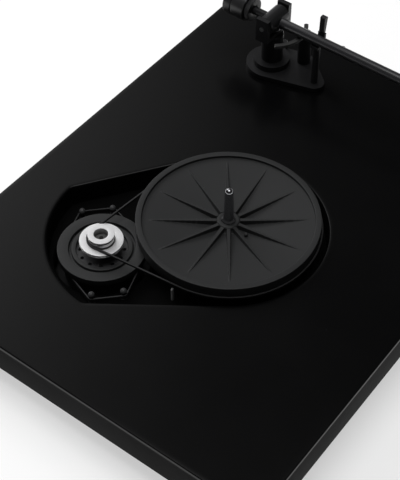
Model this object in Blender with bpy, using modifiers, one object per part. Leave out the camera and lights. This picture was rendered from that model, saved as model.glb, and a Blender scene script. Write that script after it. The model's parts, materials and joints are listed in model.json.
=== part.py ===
"""Belt-drive turntable record player, with its outer platter lifted off.

Metres, +Z up. The origin is the middle of the plinth's footprint on the surface that
the feet stand on; +X is the player's right side and +Y its back.
"""
import math

import bmesh
import bpy

for old in list(bpy.data.objects):
    bpy.data.objects.remove(old, do_unlink=True)

# Clearances
GAP = 0.0003
RUN = 0.0003

# Plinth and feet
PLINTH_WIDTH = 0.420
PLINTH_DEPTH = 0.330
PLINTH_THICKNESS = 0.030
PLINTH_EDGE = 0.0010
FOOT_HEIGHT = 0.020
FOOT_RADIUS = 0.016
FOOT_INSET = 0.036
SOLE = 0.003
TOP = FOOT_HEIGHT + PLINTH_THICKNESS
UNDER = FOOT_HEIGHT

# Sub-platter and spindle, with the spindle's place from the plinth's middle
SPINDLE_X = -0.0174
SPINDLE_Y = -0.0017
RIM_RADIUS = 0.072
RIM_WIDTH = 0.0048
RIM_TOP = TOP + 0.0110
RIM_DEPTH = 0.0105
DISH_WALL = 0.0023
DISH_SLOPE = 0.0032
WEB = 0.0025
HUB_RADIUS = 0.0087
HUB_TOP = RIM_TOP - 0.0026
RIB_COUNT = 12
RIB_FIRST = math.radians(7.0)
RIB_ROOT = 0.0024
RIB_TIP = 0.0008
SPINDLE_RADIUS = 0.0036
SPINDLE_TOP = TOP + 0.042
SHAFT_RADIUS = 0.005

# Main bearing
HOUSING_RADIUS = 0.008
HOUSING_BOTTOM = 0.006
HOUSING_FLOOR = 0.0024
BUSH_WALL = 0.0014
BUSH_LENGTH = 0.026
BALL_RADIUS = 0.0025

# Motor, its pulley and its soft mount
MOTOR_FROM_RIM = 0.02685
MOTOR_ANGLE = math.radians(135.0)
MOTOR_DISTANCE = RIM_RADIUS + MOTOR_FROM_RIM
RING_RADIUS = 0.035
RING_TOP = TOP - 0.0077
RING_WALL = 0.0058
RING_GROOVE = RING_RADIUS - 0.0096
RING_OPENING = RING_RADIUS - 0.01365
CAN_RADIUS = RING_RADIUS - 0.004
CAN_WALL = 0.0015
CAN_BOTTOM = TOP - 0.034
FACE_TOP = RING_TOP - 0.0031
FACE_HOLES = 12
FACE_HOLE_CIRCLE = 0.0173
FACE_HOLE_FIRST = math.radians(18.7)
FACE_HOLE = 0.0014
MOTOR_SHAFT = 0.0015
PULLEY_TRACK = 0.0100
PULLEY_CROWN = 0.01045
PULLEY_DISC = 0.0172
PULLEY_TOP = TOP + 0.0061
PULLEY_DISC_TOP = TOP + 0.0007
PULLEY_BORE = 0.0058
PEG_CIRCLE = RING_RADIUS + 0.010
PEG_SPREAD = math.radians(15.75)
PEG_RADIUS = 0.0016
PEG_BALL = 0.00265
PEG_TOP = TOP - 0.0094
PEG_FLANGE = 0.0005
HOOK_SPREAD = math.radians(15.0)
HOOK_RADIUS = 0.0010
HOOK_CIRCLE = RING_RADIUS - HOOK_RADIUS
BAND_THICKNESS = 0.0013
BAND_HEIGHT = 0.0040
BAND_TOP = TOP - 0.0148

# Belt
BELT_THICKNESS = 0.0013
BELT_HEIGHT = 0.0020
BELT_TOP = PULLEY_DISC_TOP + GAP + BELT_HEIGHT

# Pocket milled in the plinth
POCKET_DEPTH = 0.020
POCKET_MARGIN = 0.006
POCKET_RADIUS = RIM_RADIUS + POCKET_MARGIN
POCKET_END = MOTOR_DISTANCE + RING_RADIUS + 0.00715
POCKET_END_RADIUS = 0.0875
POCKET_CORNER = 0.008
BAY_HALF_WIDTH = RING_RADIUS + 0.0267
FLOOR = TOP - POCKET_DEPTH
MOTOR_HOLE = RING_RADIUS + 0.0035

# Tonearm: the pivot's place from the plinth's right and back edges, and the arm
PIVOT_FROM_RIGHT = 0.0494
PIVOT_FROM_BACK = 0.0834
ARM_REST_ANGLE = math.radians(269.0)
OVERHANG = 0.022
OFFSET_ANGLE = math.radians(23.0)
SHELL_LENGTH = 0.050
STYLUS_FROM_TUBE = 0.038
SHELL_WIDTH = 0.018
SHELL_THICKNESS = 0.0025
TUBE_RADIUS = 0.0045
TUBE_WALL = 0.0008
ARM_HEIGHT = TOP + 0.050
RECORD_HEIGHT = TOP + 0.031
BASE_THICKNESS = 0.004
BASE_RADIUS = 0.022
PILLAR_RADIUS = 0.0095
PILLAR_THREAD = 0.0137
PILLAR_TOP = TOP + 0.036
SWING_SHAFT = 0.004
HUB_BLOCK_RADIUS = 0.008
HUB_BLOCK_HALF = 0.0125
YOKE_HALF_LENGTH = 0.006
YOKE_ARM = 0.004
STUB_RADIUS = 0.0035
STUB_LENGTH = 0.060
WEIGHT_RADIUS = 0.0120
WEIGHT_LENGTH = 0.021
WEIGHT_START = 0.025
DIAL_LENGTH = 0.0045
DIAL_RADIUS = 0.0100
LIFT_CIRCLE = 0.028
LIFT_POST_ANGLE = math.radians(38.0)
LIFT_SWEEP = math.radians(-52.0)
LIFT_ROD = 0.0018
REST_DISTANCE = 0.045

# Boxes under the plinth
COVER_RADIUS = MOTOR_HOLE + 0.0045
COVER_WALL = 0.0016
COVER_BOTTOM = 0.006
BOX_WALL = 0.0016
BOX_FROM_BACK = 0.014
BOX_DEPTH = 0.036
BOX_HEIGHT = 0.015

SPINDLE = (SPINDLE_X, SPINDLE_Y)
MOTOR = (SPINDLE_X + MOTOR_DISTANCE * math.cos(MOTOR_ANGLE),
         SPINDLE_Y + MOTOR_DISTANCE * math.sin(MOTOR_ANGLE))
PIVOT = (PLINTH_WIDTH / 2 - PIVOT_FROM_RIGHT, PLINTH_DEPTH / 2 - PIVOT_FROM_BACK)
ARM_LENGTH = math.dist(PIVOT, SPINDLE) + OVERHANG

parts = bpy.data.collections.new("turntable_record_player")
cutters = bpy.data.collections.new("cutters")
guides = bpy.data.collections.new("joint_axes")
for group in (parts, cutters, guides):
    bpy.context.scene.collection.children.link(group)


# ---------------------------------------------------------------- materials
def material(name, colour, roughness, metallic=0.0):
    """Principled material with a plain colour."""
    made = bpy.data.materials.new(name)
    made.use_nodes = True
    shader = made.node_tree.nodes["Principled BSDF"]
    shader.inputs["Base Color"].default_value = (*colour, 1.0)
    shader.inputs["Roughness"].default_value = roughness
    shader.inputs["Metallic"].default_value = metallic
    return made


BLACK_LACQUER = ("black_lacquer", (0.010, 0.010, 0.011), 0.30, 0.0)
BLACK_MOULDING = ("black_moulding", (0.030, 0.030, 0.031), 0.45, 0.0)
BLACK_PAINT = ("black_painted_metal", (0.020, 0.020, 0.021), 0.40, 0.0)
BLACK_RUBBER = ("black_rubber", (0.018, 0.018, 0.018), 0.70, 0.0)
TURNED_ALUMINIUM = ("turned_aluminium", (0.80, 0.80, 0.82), 0.25, 1.0)
BLACK_ALUMINIUM = ("anodised_aluminium", (0.030, 0.030, 0.032), 0.35, 0.6)
POLISHED_STEEL = ("polished_steel", (0.72, 0.72, 0.74), 0.12, 1.0)
BRONZE = ("bearing_bronze", (0.62, 0.42, 0.20), 0.35, 1.0)
BOARD = ("circuit_board", (0.02, 0.14, 0.06), 0.45, 0.0)
GOLD_PLATE = ("gold_plate", (0.85, 0.62, 0.25), 0.25, 1.0)
CARBON = ("carbon_tube", (0.020, 0.020, 0.021), 0.25, 0.0)
RED_STYLUS = ("stylus_moulding", (0.35, 0.03, 0.02), 0.40, 0.0)


# ---------------------------------------------------------------- modelling
def place(obj, finish, parent=None, cutter=False):
    """Link an object as a part with its own material, or as a hidden cutter."""
    (cutters if cutter else parts).objects.link(obj)
    if cutter:
        obj.hide_render = True
        obj.display_type = 'WIRE'
    else:
        name, colour, roughness, metallic = finish
        obj.data.materials.append(material(f"{obj.name}_{name}", colour, roughness, metallic))
    obj.parent = parent
    return obj


def bevel(obj, width, segments=2):
    """Round the sharp edges of a box-like piece."""
    mod = obj.modifiers.new("edges", 'BEVEL')
    mod.width = width
    mod.segments = segments
    mod.limit_method = 'ANGLE'
    return obj


def box(name, low, high, finish, parent=None, cutter=False):
    """A block between two corners."""
    bm = bmesh.new()
    bmesh.ops.create_cube(bm, size=1.0)
    size = [b - a for a, b in zip(low, high)]
    middle = [(a + b) / 2 for a, b in zip(low, high)]
    bmesh.ops.scale(bm, vec=size, verts=bm.verts)
    mesh = bpy.data.meshes.new(name)
    bm.to_mesh(mesh)
    bm.free()
    obj = bpy.data.objects.new(name, mesh)
    obj.location = middle
    return place(obj, finish, parent, cutter)


def turned(name, profile, centre, finish, steps=32, ring=False, parent=None, cutter=False,
           rotation=(0.0, 0.0, 0.0)):
    """A turned piece: (radius, height) points down its outer side, spun about its axis."""
    mesh = bpy.data.meshes.new(name)
    edges = [(i, i + 1) for i in range(len(profile) - 1)]
    if ring:
        edges.append((len(profile) - 1, 0))
    mesh.from_pydata([(r, 0.0, z) for r, z in profile], edges, [])
    obj = bpy.data.objects.new(name, mesh)
    obj.location = centre
    obj.rotation_euler = rotation
    screw = obj.modifiers.new("spin", 'SCREW')
    screw.steps = steps
    screw.render_steps = steps
    screw.use_merge_vertices = True
    screw.merge_threshold = 0.00001
    screw.use_smooth_shade = True
    return place(obj, finish, parent, cutter)


def washer(inner, outer, low, high):
    """Closed profile of a plain ring."""
    return [(inner, high), (outer, high), (outer, low), (inner, low)]


def rod(outer, low, high, chamfer=0.0):
    """Open profile of a solid round bar, chamfered at both ends."""
    if chamfer == 0.0:
        return [(0.0, high), (outer, high), (outer, low), (0.0, low)]
    return [(0.0, high), (outer - chamfer, high), (outer, high - chamfer),
            (outer, low + chamfer), (outer - chamfer, low), (0.0, low)]


def dome(radius, top, steps=5):
    """Points of a quarter circle from the pole down to the equator."""
    return [(radius * math.sin(math.pi / 2 * i / steps),
             top - radius + radius * math.cos(math.pi / 2 * i / steps)) for i in range(steps + 1)]


def arc(centre, radius, start, end, steps):
    """Points of an arc, both ends included."""
    return [(centre[0] + radius * math.cos(start + (end - start) * i / steps),
             centre[1] + radius * math.sin(start + (end - start) * i / steps))
            for i in range(steps + 1)]


def wrap(circles, fineness=64):
    """Outline of a tight loop round circles (x, y, radius) given counter-clockwise."""
    normals = []
    for (ax, ay, ar), (bx, by, br) in zip(circles, circles[1:] + circles[:1]):
        lean = math.asin((ar - br) / math.dist((ax, ay), (bx, by)))
        normals.append(math.atan2(by - ay, bx - ax) - math.pi / 2 + lean)
    outline = []
    for i, (x, y, radius) in enumerate(circles):
        start = normals[i - 1]
        end = start + (normals[i] - start) % (2 * math.pi)
        steps = max(1, math.ceil((end - start) / (2 * math.pi) * fineness))
        outline += arc((x, y), radius, start, end, steps)
    return outline


def plate(name, outlines, low, high, finish, centre=(0.0, 0.0), parent=None, cutter=False):
    """A flat piece: an outline, and holes in it, extruded between two heights."""
    curve = bpy.data.curves.new(name, 'CURVE')
    curve.dimensions = '2D'
    curve.fill_mode = 'BOTH'
    curve.extrude = (high - low) / 2
    for outline in outlines:
        spline = curve.splines.new('POLY')
        spline.points.add(len(outline) - 1)
        for point, (x, y) in zip(spline.points, outline):
            point.co = (x, y, 0.0, 1.0)
        spline.use_cyclic_u = True
    shape = bpy.data.objects.new(name + "_outline", curve)
    bpy.context.scene.collection.objects.link(shape)
    bpy.context.view_layer.update()
    mesh = bpy.data.meshes.new_from_object(shape.evaluated_get(bpy.context.evaluated_depsgraph_get()))
    bpy.data.objects.remove(shape)
    bm = bmesh.new()
    bm.from_mesh(mesh)
    bmesh.ops.remove_doubles(bm, verts=bm.verts, dist=0.000005)
    bmesh.ops.recalc_face_normals(bm, faces=bm.faces)
    bm.to_mesh(mesh)
    bm.free()
    mesh.name = name
    obj = bpy.data.objects.new(name, mesh)
    obj.location = (centre[0], centre[1], (low + high) / 2)
    return place(obj, finish, parent, cutter)


def hex_nut(name, thread, low, high, centre=(0.0, 0.0), parent=None):
    """Hexagonal nut with a round bore that clears its thread."""
    corner = thread + 0.007
    bore = thread + 2 * GAP
    outlines = [arc((0, 0), corner, 0, 5 / 3 * math.pi, 5), arc((0, 0), bore, 0, 1.9375 * math.pi, 31)]
    return plate(name, outlines, low, high, BLACK_PAINT, centre, parent)


def combine(obj, tool, operation='DIFFERENCE'):
    """Cut a piece with a cutter, or join a shape to it."""
    mod = obj.modifiers.new(tool.name, 'BOOLEAN')
    mod.operation = operation
    mod.object = tool
    mod.solver = 'EXACT'
    return obj


def hole(obj, name, centre, radius, low, high, steps=32, rotation=(0.0, 0.0, 0.0), parent=None):
    """Drill a round hole between two heights, or along a turned cutter's own axis."""
    tool = turned(name, rod(radius, low, high), (centre[0], centre[1], centre[2]), None,
                  steps, parent=parent, cutter=True, rotation=rotation)
    return combine(obj, tool)


def empty(name, location, angle=0.0, parent=None):
    """An axis that moving pieces hang from."""
    obj = bpy.data.objects.new(name, None)
    obj.location = location
    obj.rotation_euler = (0.0, 0.0, angle)
    obj.parent = parent
    guides.objects.link(obj)
    return obj


ALONG_X = (0.0, math.pi / 2, 0.0)
ALONG_Y = (-math.pi / 2, 0.0, 0.0)


# ---------------------------------------------------------------- plinth
def pocket_outline():
    """Well round the sub-platter, run out by two leaning sides to the motor's round end."""
    lean = math.asin((POCKET_RADIUS - BAY_HALF_WIDTH) / MOTOR_DISTANCE)
    side = math.pi / 2 - lean
    centre = POCKET_END - POCKET_END_RADIUS
    across = POCKET_RADIUS - POCKET_CORNER - centre * math.cos(side)
    reach = POCKET_END_RADIUS - POCKET_CORNER
    turn = side - math.acos(across / reach)
    end = (centre * math.cos(MOTOR_ANGLE), centre * math.sin(MOTOR_ANGLE))
    outline = arc((0, 0), POCKET_RADIUS, MOTOR_ANGLE + side, MOTOR_ANGLE + 2 * math.pi - side, 40)
    for sign in (-1, 1):
        angle = MOTOR_ANGLE + sign * turn
        corner = (end[0] + reach * math.cos(angle), end[1] + reach * math.sin(angle))
        ends = (MOTOR_ANGLE - side, angle) if sign < 0 else (angle, MOTOR_ANGLE + side)
        outline += arc(corner, POCKET_CORNER, *ends, 6)
        if sign < 0:
            outline += arc(end, POCKET_END_RADIUS, angle, MOTOR_ANGLE + turn, 16)[1:-1]
    return outline


def make_plinth():
    half_x = PLINTH_WIDTH / 2
    half_y = PLINTH_DEPTH / 2
    plinth = bevel(box("plinth", (-half_x, -half_y, UNDER), (half_x, half_y, TOP), BLACK_LACQUER),
                   PLINTH_EDGE)
    pocket = plate("pocket_cutter", [pocket_outline()], FLOOR, TOP + 0.01, None, SPINDLE,
                   cutter=True)
    combine(plinth, pocket)
    hole(plinth, "motor_hole_cutter", (*MOTOR, 0), MOTOR_HOLE, UNDER - 0.01, FLOOR + 0.001, 48)
    hole(plinth, "bearing_hole_cutter", (*SPINDLE, 0), HOUSING_RADIUS + GAP, UNDER - 0.01,
         FLOOR + 0.001)
    hole(plinth, "arm_hole_cutter", (*PIVOT, 0), PILLAR_THREAD + GAP, UNDER - 0.01, TOP + 0.01)


def make_feet():
    """Four turned rubber-soled feet."""
    for side, sign_x in (("left", -1), ("right", 1)):
        for end, sign_y in (("front", -1), ("back", 1)):
            at = (sign_x * (PLINTH_WIDTH / 2 - FOOT_INSET), sign_y * (PLINTH_DEPTH / 2 - FOOT_INSET), 0)
            high = UNDER - GAP
            waist = FOOT_RADIUS - 0.0022
            turned(f"foot_{end}_{side}", [(0, high), (FOOT_RADIUS, high), (FOOT_RADIUS, high - 0.004),
                   (waist, high - 0.0075), (FOOT_RADIUS, SOLE + 0.003), (FOOT_RADIUS, SOLE),
                   (FOOT_RADIUS - 0.002, SOLE), (FOOT_RADIUS - 0.002, 0), (0, 0)],
                   at, BLACK_RUBBER, 20)


# ---------------------------------------------------------------- main bearing
def make_bearing():
    """Cup with a flange on the pocket's floor, a long bush, a thrust ball and a nut."""
    inner = SHAFT_RADIUS + RUN + BUSH_WALL + GAP
    flange = HOUSING_RADIUS + 0.005
    floor = HOUSING_BOTTOM + HOUSING_FLOOR
    top = RIM_TOP - RIM_DEPTH - 0.0022
    seat = FLOOR + GAP
    turned("bearing_housing", [(0, floor), (inner, floor), (inner, top), (HOUSING_RADIUS, top),
           (HOUSING_RADIUS, seat + 0.003), (flange, seat + 0.003), (flange, seat),
           (HOUSING_RADIUS, seat), (HOUSING_RADIUS, HOUSING_BOTTOM), (0, HOUSING_BOTTOM)],
           (*SPINDLE, 0), TURNED_ALUMINIUM, 24)
    turned("bearing_ball", dome(BALL_RADIUS, 2 * BALL_RADIUS) + [
           (r, 2 * BALL_RADIUS - z) for r, z in reversed(dome(BALL_RADIUS, 2 * BALL_RADIUS)[:-1])],
           (*SPINDLE, floor + GAP), POLISHED_STEEL, 16)
    bush = washer(SHAFT_RADIUS + RUN, inner - GAP, 0, BUSH_LENGTH)
    turned("bearing_bush", bush, (*SPINDLE, top - BUSH_LENGTH - 0.001), BRONZE, 32, ring=True)
    hex_nut("bearing_nut", HOUSING_RADIUS, UNDER - GAP - 0.005, UNDER - GAP, SPINDLE)


# ---------------------------------------------------------------- sub-platter and spindle
def dish_floor(radius):
    """Height of the dished web's upper face, which falls from the rim to the hub."""
    share = (radius - HUB_RADIUS) / (RIM_RADIUS - RIM_WIDTH - HUB_RADIUS)
    return RIM_TOP - DISH_WALL - DISH_SLOPE * (1.0 - share)


def make_sub_platter():
    axis = empty("platter_axis", (*SPINDLE, 0))
    bore = SHAFT_RADIUS + GAP
    lip = RIM_RADIUS - RIM_WIDTH
    skirt = RIM_RADIUS - WEB
    profile = [(bore, HUB_TOP), (HUB_RADIUS, HUB_TOP), (HUB_RADIUS, dish_floor(HUB_RADIUS)),
               (lip, dish_floor(lip)), (lip, RIM_TOP), (RIM_RADIUS, RIM_TOP),
               (RIM_RADIUS, RIM_TOP - RIM_DEPTH), (skirt, RIM_TOP - RIM_DEPTH),
               (skirt, dish_floor(skirt) - WEB), (HUB_RADIUS, dish_floor(HUB_RADIUS) - WEB),
               (HUB_RADIUS, RIM_TOP - RIM_DEPTH - 0.0015), (bore, RIM_TOP - RIM_DEPTH - 0.0015)]
    platter = turned("sub_platter", profile, (0, 0, 0), BLACK_MOULDING, 64, ring=True, parent=axis)
    combine(platter, make_ribs(axis), 'UNION')
    cone = SPINDLE_RADIUS + 0.0034
    seat = HUB_TOP + GAP
    shaft_end = HOUSING_BOTTOM + HOUSING_FLOOR + 2 * BALL_RADIUS + 2 * GAP
    nose = [(r * SPINDLE_RADIUS / 0.0036, z) for r, z in dome(0.0036, SPINDLE_TOP)]
    turned("spindle", nose + [(SPINDLE_RADIUS, seat + 0.0030), (cone, seat), (SHAFT_RADIUS, seat),
           (SHAFT_RADIUS, shaft_end + 0.001), (SHAFT_RADIUS - 0.001, shaft_end), (0, shaft_end)],
           (0, 0, 0), POLISHED_STEEL, 24, parent=axis)


def make_ribs(axis):
    """Twelve level ribs, tapered in plan, that sink into the dish near the rim."""
    inner = (SHAFT_RADIUS + GAP + HUB_RADIUS) / 2
    outer = RIM_RADIUS - RIM_WIDTH - 0.002
    bm = bmesh.new()
    for number in range(RIB_COUNT):
        angle = RIB_FIRST + number * 2 * math.pi / RIB_COUNT
        for vert in bmesh.ops.create_cube(bm, size=1.0)["verts"]:
            far = vert.co.x > 0
            radius = outer if far else inner
            across = math.copysign((RIB_TIP if far else RIB_ROOT) / 2, vert.co.y)
            height = HUB_TOP - GAP if vert.co.z > 0 else dish_floor(radius) - WEB / 2
            vert.co = (radius * math.cos(angle) - across * math.sin(angle),
                       radius * math.sin(angle) + across * math.cos(angle), height)
    mesh = bpy.data.meshes.new("ribs")
    bm.to_mesh(mesh)
    bm.free()
    return place(bpy.data.objects.new("ribs", mesh), None, axis, cutter=True)


# ---------------------------------------------------------------- motor
def make_motor():
    """Can, rotor and shaft, with a face plate and a ring that covers the can's rim."""
    at = (*MOTOR, 0)
    face_radius = CAN_RADIUS - CAN_WALL - GAP
    face_low = FACE_TOP - 0.0014
    can_top = FACE_TOP + 0.0002
    turned("motor_can", [(0, CAN_BOTTOM + CAN_WALL), (CAN_RADIUS - CAN_WALL, CAN_BOTTOM + CAN_WALL),
           (CAN_RADIUS - CAN_WALL, can_top), (CAN_RADIUS, can_top), (CAN_RADIUS, CAN_BOTTOM + 0.001),
           (CAN_RADIUS - 0.001, CAN_BOTTOM), (0, CAN_BOTTOM)], at, BLACK_PAINT, 32)
    face = turned("motor_face", washer(MOTOR_SHAFT + RUN, face_radius, face_low, FACE_TOP), at,
                  BLACK_PAINT, 48, ring=True)
    for number in range(FACE_HOLES):
        angle = FACE_HOLE_FIRST + number * 2 * math.pi / FACE_HOLES
        spot = (MOTOR[0] + FACE_HOLE_CIRCLE * math.cos(angle),
                MOTOR[1] + FACE_HOLE_CIRCLE * math.sin(angle), 0)
        hole(face, f"face_hole_cutter_{number}", spot, FACE_HOLE, face_low - 0.001, FACE_TOP + 0.001, 8)
    lip = CAN_RADIUS + GAP
    under = RING_TOP - 0.0024
    low = RING_TOP - RING_WALL
    ring = turned("motor_ring", [(RING_OPENING, RING_TOP - 0.0004),
                  (RING_GROOVE - 0.0006, RING_TOP - 0.0004),
                  (RING_GROOVE - 0.0004, RING_TOP - 0.0010), (RING_GROOVE, RING_TOP - 0.0010),
                  (RING_GROOVE, RING_TOP), (RING_RADIUS, RING_TOP), (RING_RADIUS, low), (lip, low),
                  (lip, under), (RING_OPENING, under)], at, BLACK_MOULDING, 48, ring=True)
    for x, y, radius in hook_circles():
        spot = (MOTOR[0] + x, MOTOR[1] + y, 0)
        combine(ring, turned("hook", rod(radius, BAND_TOP - BAND_HEIGHT - 0.0004, low + 0.001), spot,
                             None, 12, cutter=True), 'UNION')


def hook_circles(grow=0.0):
    """Places of the ring's four hooks, round the motor's axis."""
    return [(HOOK_CIRCLE * math.cos(base + turn), HOOK_CIRCLE * math.sin(base + turn),
             HOOK_RADIUS + grow)
            for base in (MOTOR_ANGLE, MOTOR_ANGLE + math.pi) for turn in (-HOOK_SPREAD, HOOK_SPREAD)]


def peg_circles(grow=0.0):
    """Places of the four pegs, round the motor's axis."""
    square = MOTOR_ANGLE - math.pi / 2
    return [(PEG_CIRCLE * math.cos(base + turn), PEG_CIRCLE * math.sin(base + turn),
             PEG_RADIUS + grow)
            for base in (square, square + math.pi) for turn in (-PEG_SPREAD, PEG_SPREAD)]


def make_motor_mount():
    """Four ball-headed pegs on the pocket's floor, and the rubber band that hangs the motor."""
    low = FLOOR + GAP
    neck = PEG_TOP - 2 * PEG_BALL + 0.0006
    ball = [(r, z) for r, z in dome(PEG_BALL, PEG_TOP)]
    ball += [(r, 2 * (PEG_TOP - PEG_BALL) - z) for r, z in reversed(ball[2:-1])]
    for number, (x, y, radius) in enumerate(peg_circles(), 1):
        turned(f"suspension_peg_{number}", ball + [(radius, neck), (radius, low + PEG_FLANGE),
               (radius + 0.0012, low + PEG_FLANGE), (radius + 0.0012, low), (0, low)],
               (MOTOR[0] + x, MOTOR[1] + y, 0), BLACK_MOULDING, 12)
    loops = []
    for grow in (GAP + BAND_THICKNESS, GAP):
        pegs = peg_circles(grow)
        hooks = hook_circles(grow)
        loops.append(wrap(pegs[:2] + hooks[:2] + pegs[2:] + hooks[2:], 24))
    plate("suspension_band", loops, BAND_TOP - BAND_HEIGHT, BAND_TOP, BLACK_RUBBER, MOTOR)


def make_pulley():
    """Turned two-step pulley on the motor's shaft, and the rotor inside the can."""
    axis = empty("pulley_axis", (*MOTOR, 0))
    shaft = MOTOR_SHAFT + GAP
    floor = PULLEY_DISC_TOP + 0.0004
    disc_low = PULLEY_DISC_TOP - 0.0028
    boss_low = FACE_TOP + 0.0014
    edge = 0.0004
    profile = [(shaft, floor), (PULLEY_BORE, floor), (PULLEY_BORE, PULLEY_TOP - 0.0007),
               (PULLEY_BORE + 0.0007, PULLEY_TOP), (PULLEY_CROWN - edge, PULLEY_TOP),
               (PULLEY_CROWN, PULLEY_TOP - edge), (PULLEY_CROWN, PULLEY_TOP - 0.0013),
               (PULLEY_TRACK, PULLEY_TOP - 0.0018),
               (PULLEY_TRACK, PULLEY_DISC_TOP), (PULLEY_DISC - edge, PULLEY_DISC_TOP),
               (PULLEY_DISC, PULLEY_DISC_TOP - edge), (PULLEY_DISC, PULLEY_DISC_TOP - 0.0013),
               (PULLEY_DISC - 0.0006, PULLEY_DISC_TOP - 0.0013),
               (PULLEY_DISC - 0.0006, PULLEY_DISC_TOP - 0.0017),
               (PULLEY_DISC, PULLEY_DISC_TOP - 0.0017), (PULLEY_DISC, disc_low),
               (0.0045, disc_low), (0.0045, boss_low), (shaft, boss_low)]
    turned("pulley", profile, (0, 0, 0), TURNED_ALUMINIUM, 32, ring=True, parent=axis)
    turned("motor_shaft", rod(MOTOR_SHAFT, CAN_BOTTOM + CAN_WALL + GAP, PULLEY_TOP - 0.0028, 0.0003),
           (0, 0, 0), POLISHED_STEEL, 24, parent=axis)
    turned("motor_rotor", washer(shaft, CAN_RADIUS - CAN_WALL - 0.005, CAN_BOTTOM + 0.005,
           FACE_TOP - 0.006), (0, 0, 0), BLACK_PAINT, 32, ring=True, parent=axis)


def make_belt():
    """Flat rubber belt round the sub-platter's rim and the pulley's track."""
    loops = []
    for grow in (GAP + BELT_THICKNESS, GAP):
        loops.append(wrap([(0, 0, RIM_RADIUS + grow),
                           (MOTOR[0] - SPINDLE[0], MOTOR[1] - SPINDLE[1], PULLEY_TRACK + grow)], 64))
    plate("drive_belt", loops, BELT_TOP - BELT_HEIGHT, BELT_TOP, BLACK_RUBBER, SPINDLE)


def make_guide_post():
    """Slim post on the pocket's floor, under the belt's near run."""
    turned("guide_post", rod(0.0012, FLOOR + GAP, FLOOR + 0.0125, 0.0004),
           (SPINDLE[0] - RIM_RADIUS + 0.001, SPINDLE[1], 0), TURNED_ALUMINIUM, 12)


# ---------------------------------------------------------------- under the plinth
def shell(name, low, high, wall, finish):
    """Box open at the top, with a wall and floor of one thickness."""
    body = bevel(box(name, low, high, finish), 0.001, 1)
    inside = box(name + "_cutter", (low[0] + wall, low[1] + wall, low[2] + wall),
                 (high[0] - wall, high[1] - wall, high[2] + 0.01), None, cutter=True)
    return combine(body, inside)


def make_motor_cover():
    """Round dish under the motor, held by three screws into the plinth."""
    top = UNDER - GAP
    inner = COVER_RADIUS - COVER_WALL
    flange = COVER_RADIUS + 0.008
    dish = turned("motor_cover", [(0, COVER_BOTTOM + COVER_WALL), (inner, COVER_BOTTOM + COVER_WALL),
                  (inner, top), (flange, top), (flange, top - COVER_WALL),
                  (COVER_RADIUS, top - COVER_WALL), (COVER_RADIUS, COVER_BOTTOM + 0.002),
                  (COVER_RADIUS - 0.002, COVER_BOTTOM), (0, COVER_BOTTOM)], (*MOTOR, 0),
                  BLACK_MOULDING, 32)
    for number in range(3):
        angle = MOTOR_ANGLE + number * 2 * math.pi / 3
        middle = COVER_RADIUS + 0.0042
        spot = (MOTOR[0] + middle * math.cos(angle), MOTOR[1] + middle * math.sin(angle), 0)
        hole(dish, f"cover_screw_cutter_{number}", spot, 0.0018, top - 0.01, top + 0.01, 16)
        head = top - COVER_WALL - GAP
        turned(f"cover_screw_{number + 1}", [(0, top), (0.0015, top), (0.0015, head), (0.0030, head),
               (0.0026, head - 0.0018), (0, head - 0.0018)], spot, POLISHED_STEEL, 16)


def make_rear_boxes():
    """Mains box with its socket and board, and phono box with two sockets and an earth post."""
    back = PLINTH_DEPTH / 2 - BOX_FROM_BACK
    low = UNDER - GAP - BOX_HEIGHT
    top = UNDER - GAP
    height = low + BOX_HEIGHT / 2
    face = back + GAP
    power = shell("power_box", (-0.030, back - BOX_DEPTH, low), (0.022, back, top), BOX_WALL,
                  BLACK_MOULDING)
    power_x = -0.016
    socket = 0.0050
    hole(power, "dc_socket_cutter", (power_x, back, height), socket + GAP, -0.004, 0.004, 24,
         rotation=ALONG_Y)
    turned("dc_socket", [(0, -0.010), (0.0032, -0.010), (0.0032, 0.0022), (0.0070, 0.0022),
           (0.0070, GAP), (socket, GAP), (socket, -0.012), (0, -0.012)], (power_x, back, height),
           BLACK_MOULDING, 24, rotation=ALONG_Y)
    box("circuit_board", (-0.026, back - BOX_DEPTH + 0.003, top - 0.0022),
        (0.018, back - 0.014, top - 0.0006), BOARD)
    phono_low = PIVOT[0] - 0.074
    phono_high = PIVOT[0] - 0.024
    phono = shell("phono_box", (phono_low, back - BOX_DEPTH, low), (phono_high, back, top), BOX_WALL,
                  BLACK_MOULDING)
    barrel = 0.0042
    for name, x in (("left", phono_high - 0.010), ("right", phono_high - 0.024)):
        hole(phono, f"phono_{name}_cutter", (x, back, height), barrel + GAP, -0.004, 0.004, 24,
             rotation=ALONG_Y)
        turned(f"phono_socket_{name}", [(0, -0.006), (0.0016, -0.006), (0.0016, 0.0100),
               (barrel, 0.0100), (barrel, 0.0018), (0.0056, 0.0018), (0.0056, GAP), (barrel, GAP),
               (barrel, -0.008), (0, -0.008)], (x, back, height), GOLD_PLATE, 24, rotation=ALONG_Y)
    earth_x = phono_high - 0.038
    hole(phono, "earth_cutter", (earth_x, back, height), 0.0018, -0.004, 0.004, 16, rotation=ALONG_Y)
    turned("earth_terminal", [(0, 0.0085), (0.0030, 0.0085), (0.0035, 0.0080), (0.0035, GAP),
           (0.0015, GAP), (0.0015, -0.006), (0, -0.006)], (earth_x, back, height), GOLD_PLATE, 16,
           rotation=ALONG_Y)


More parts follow.
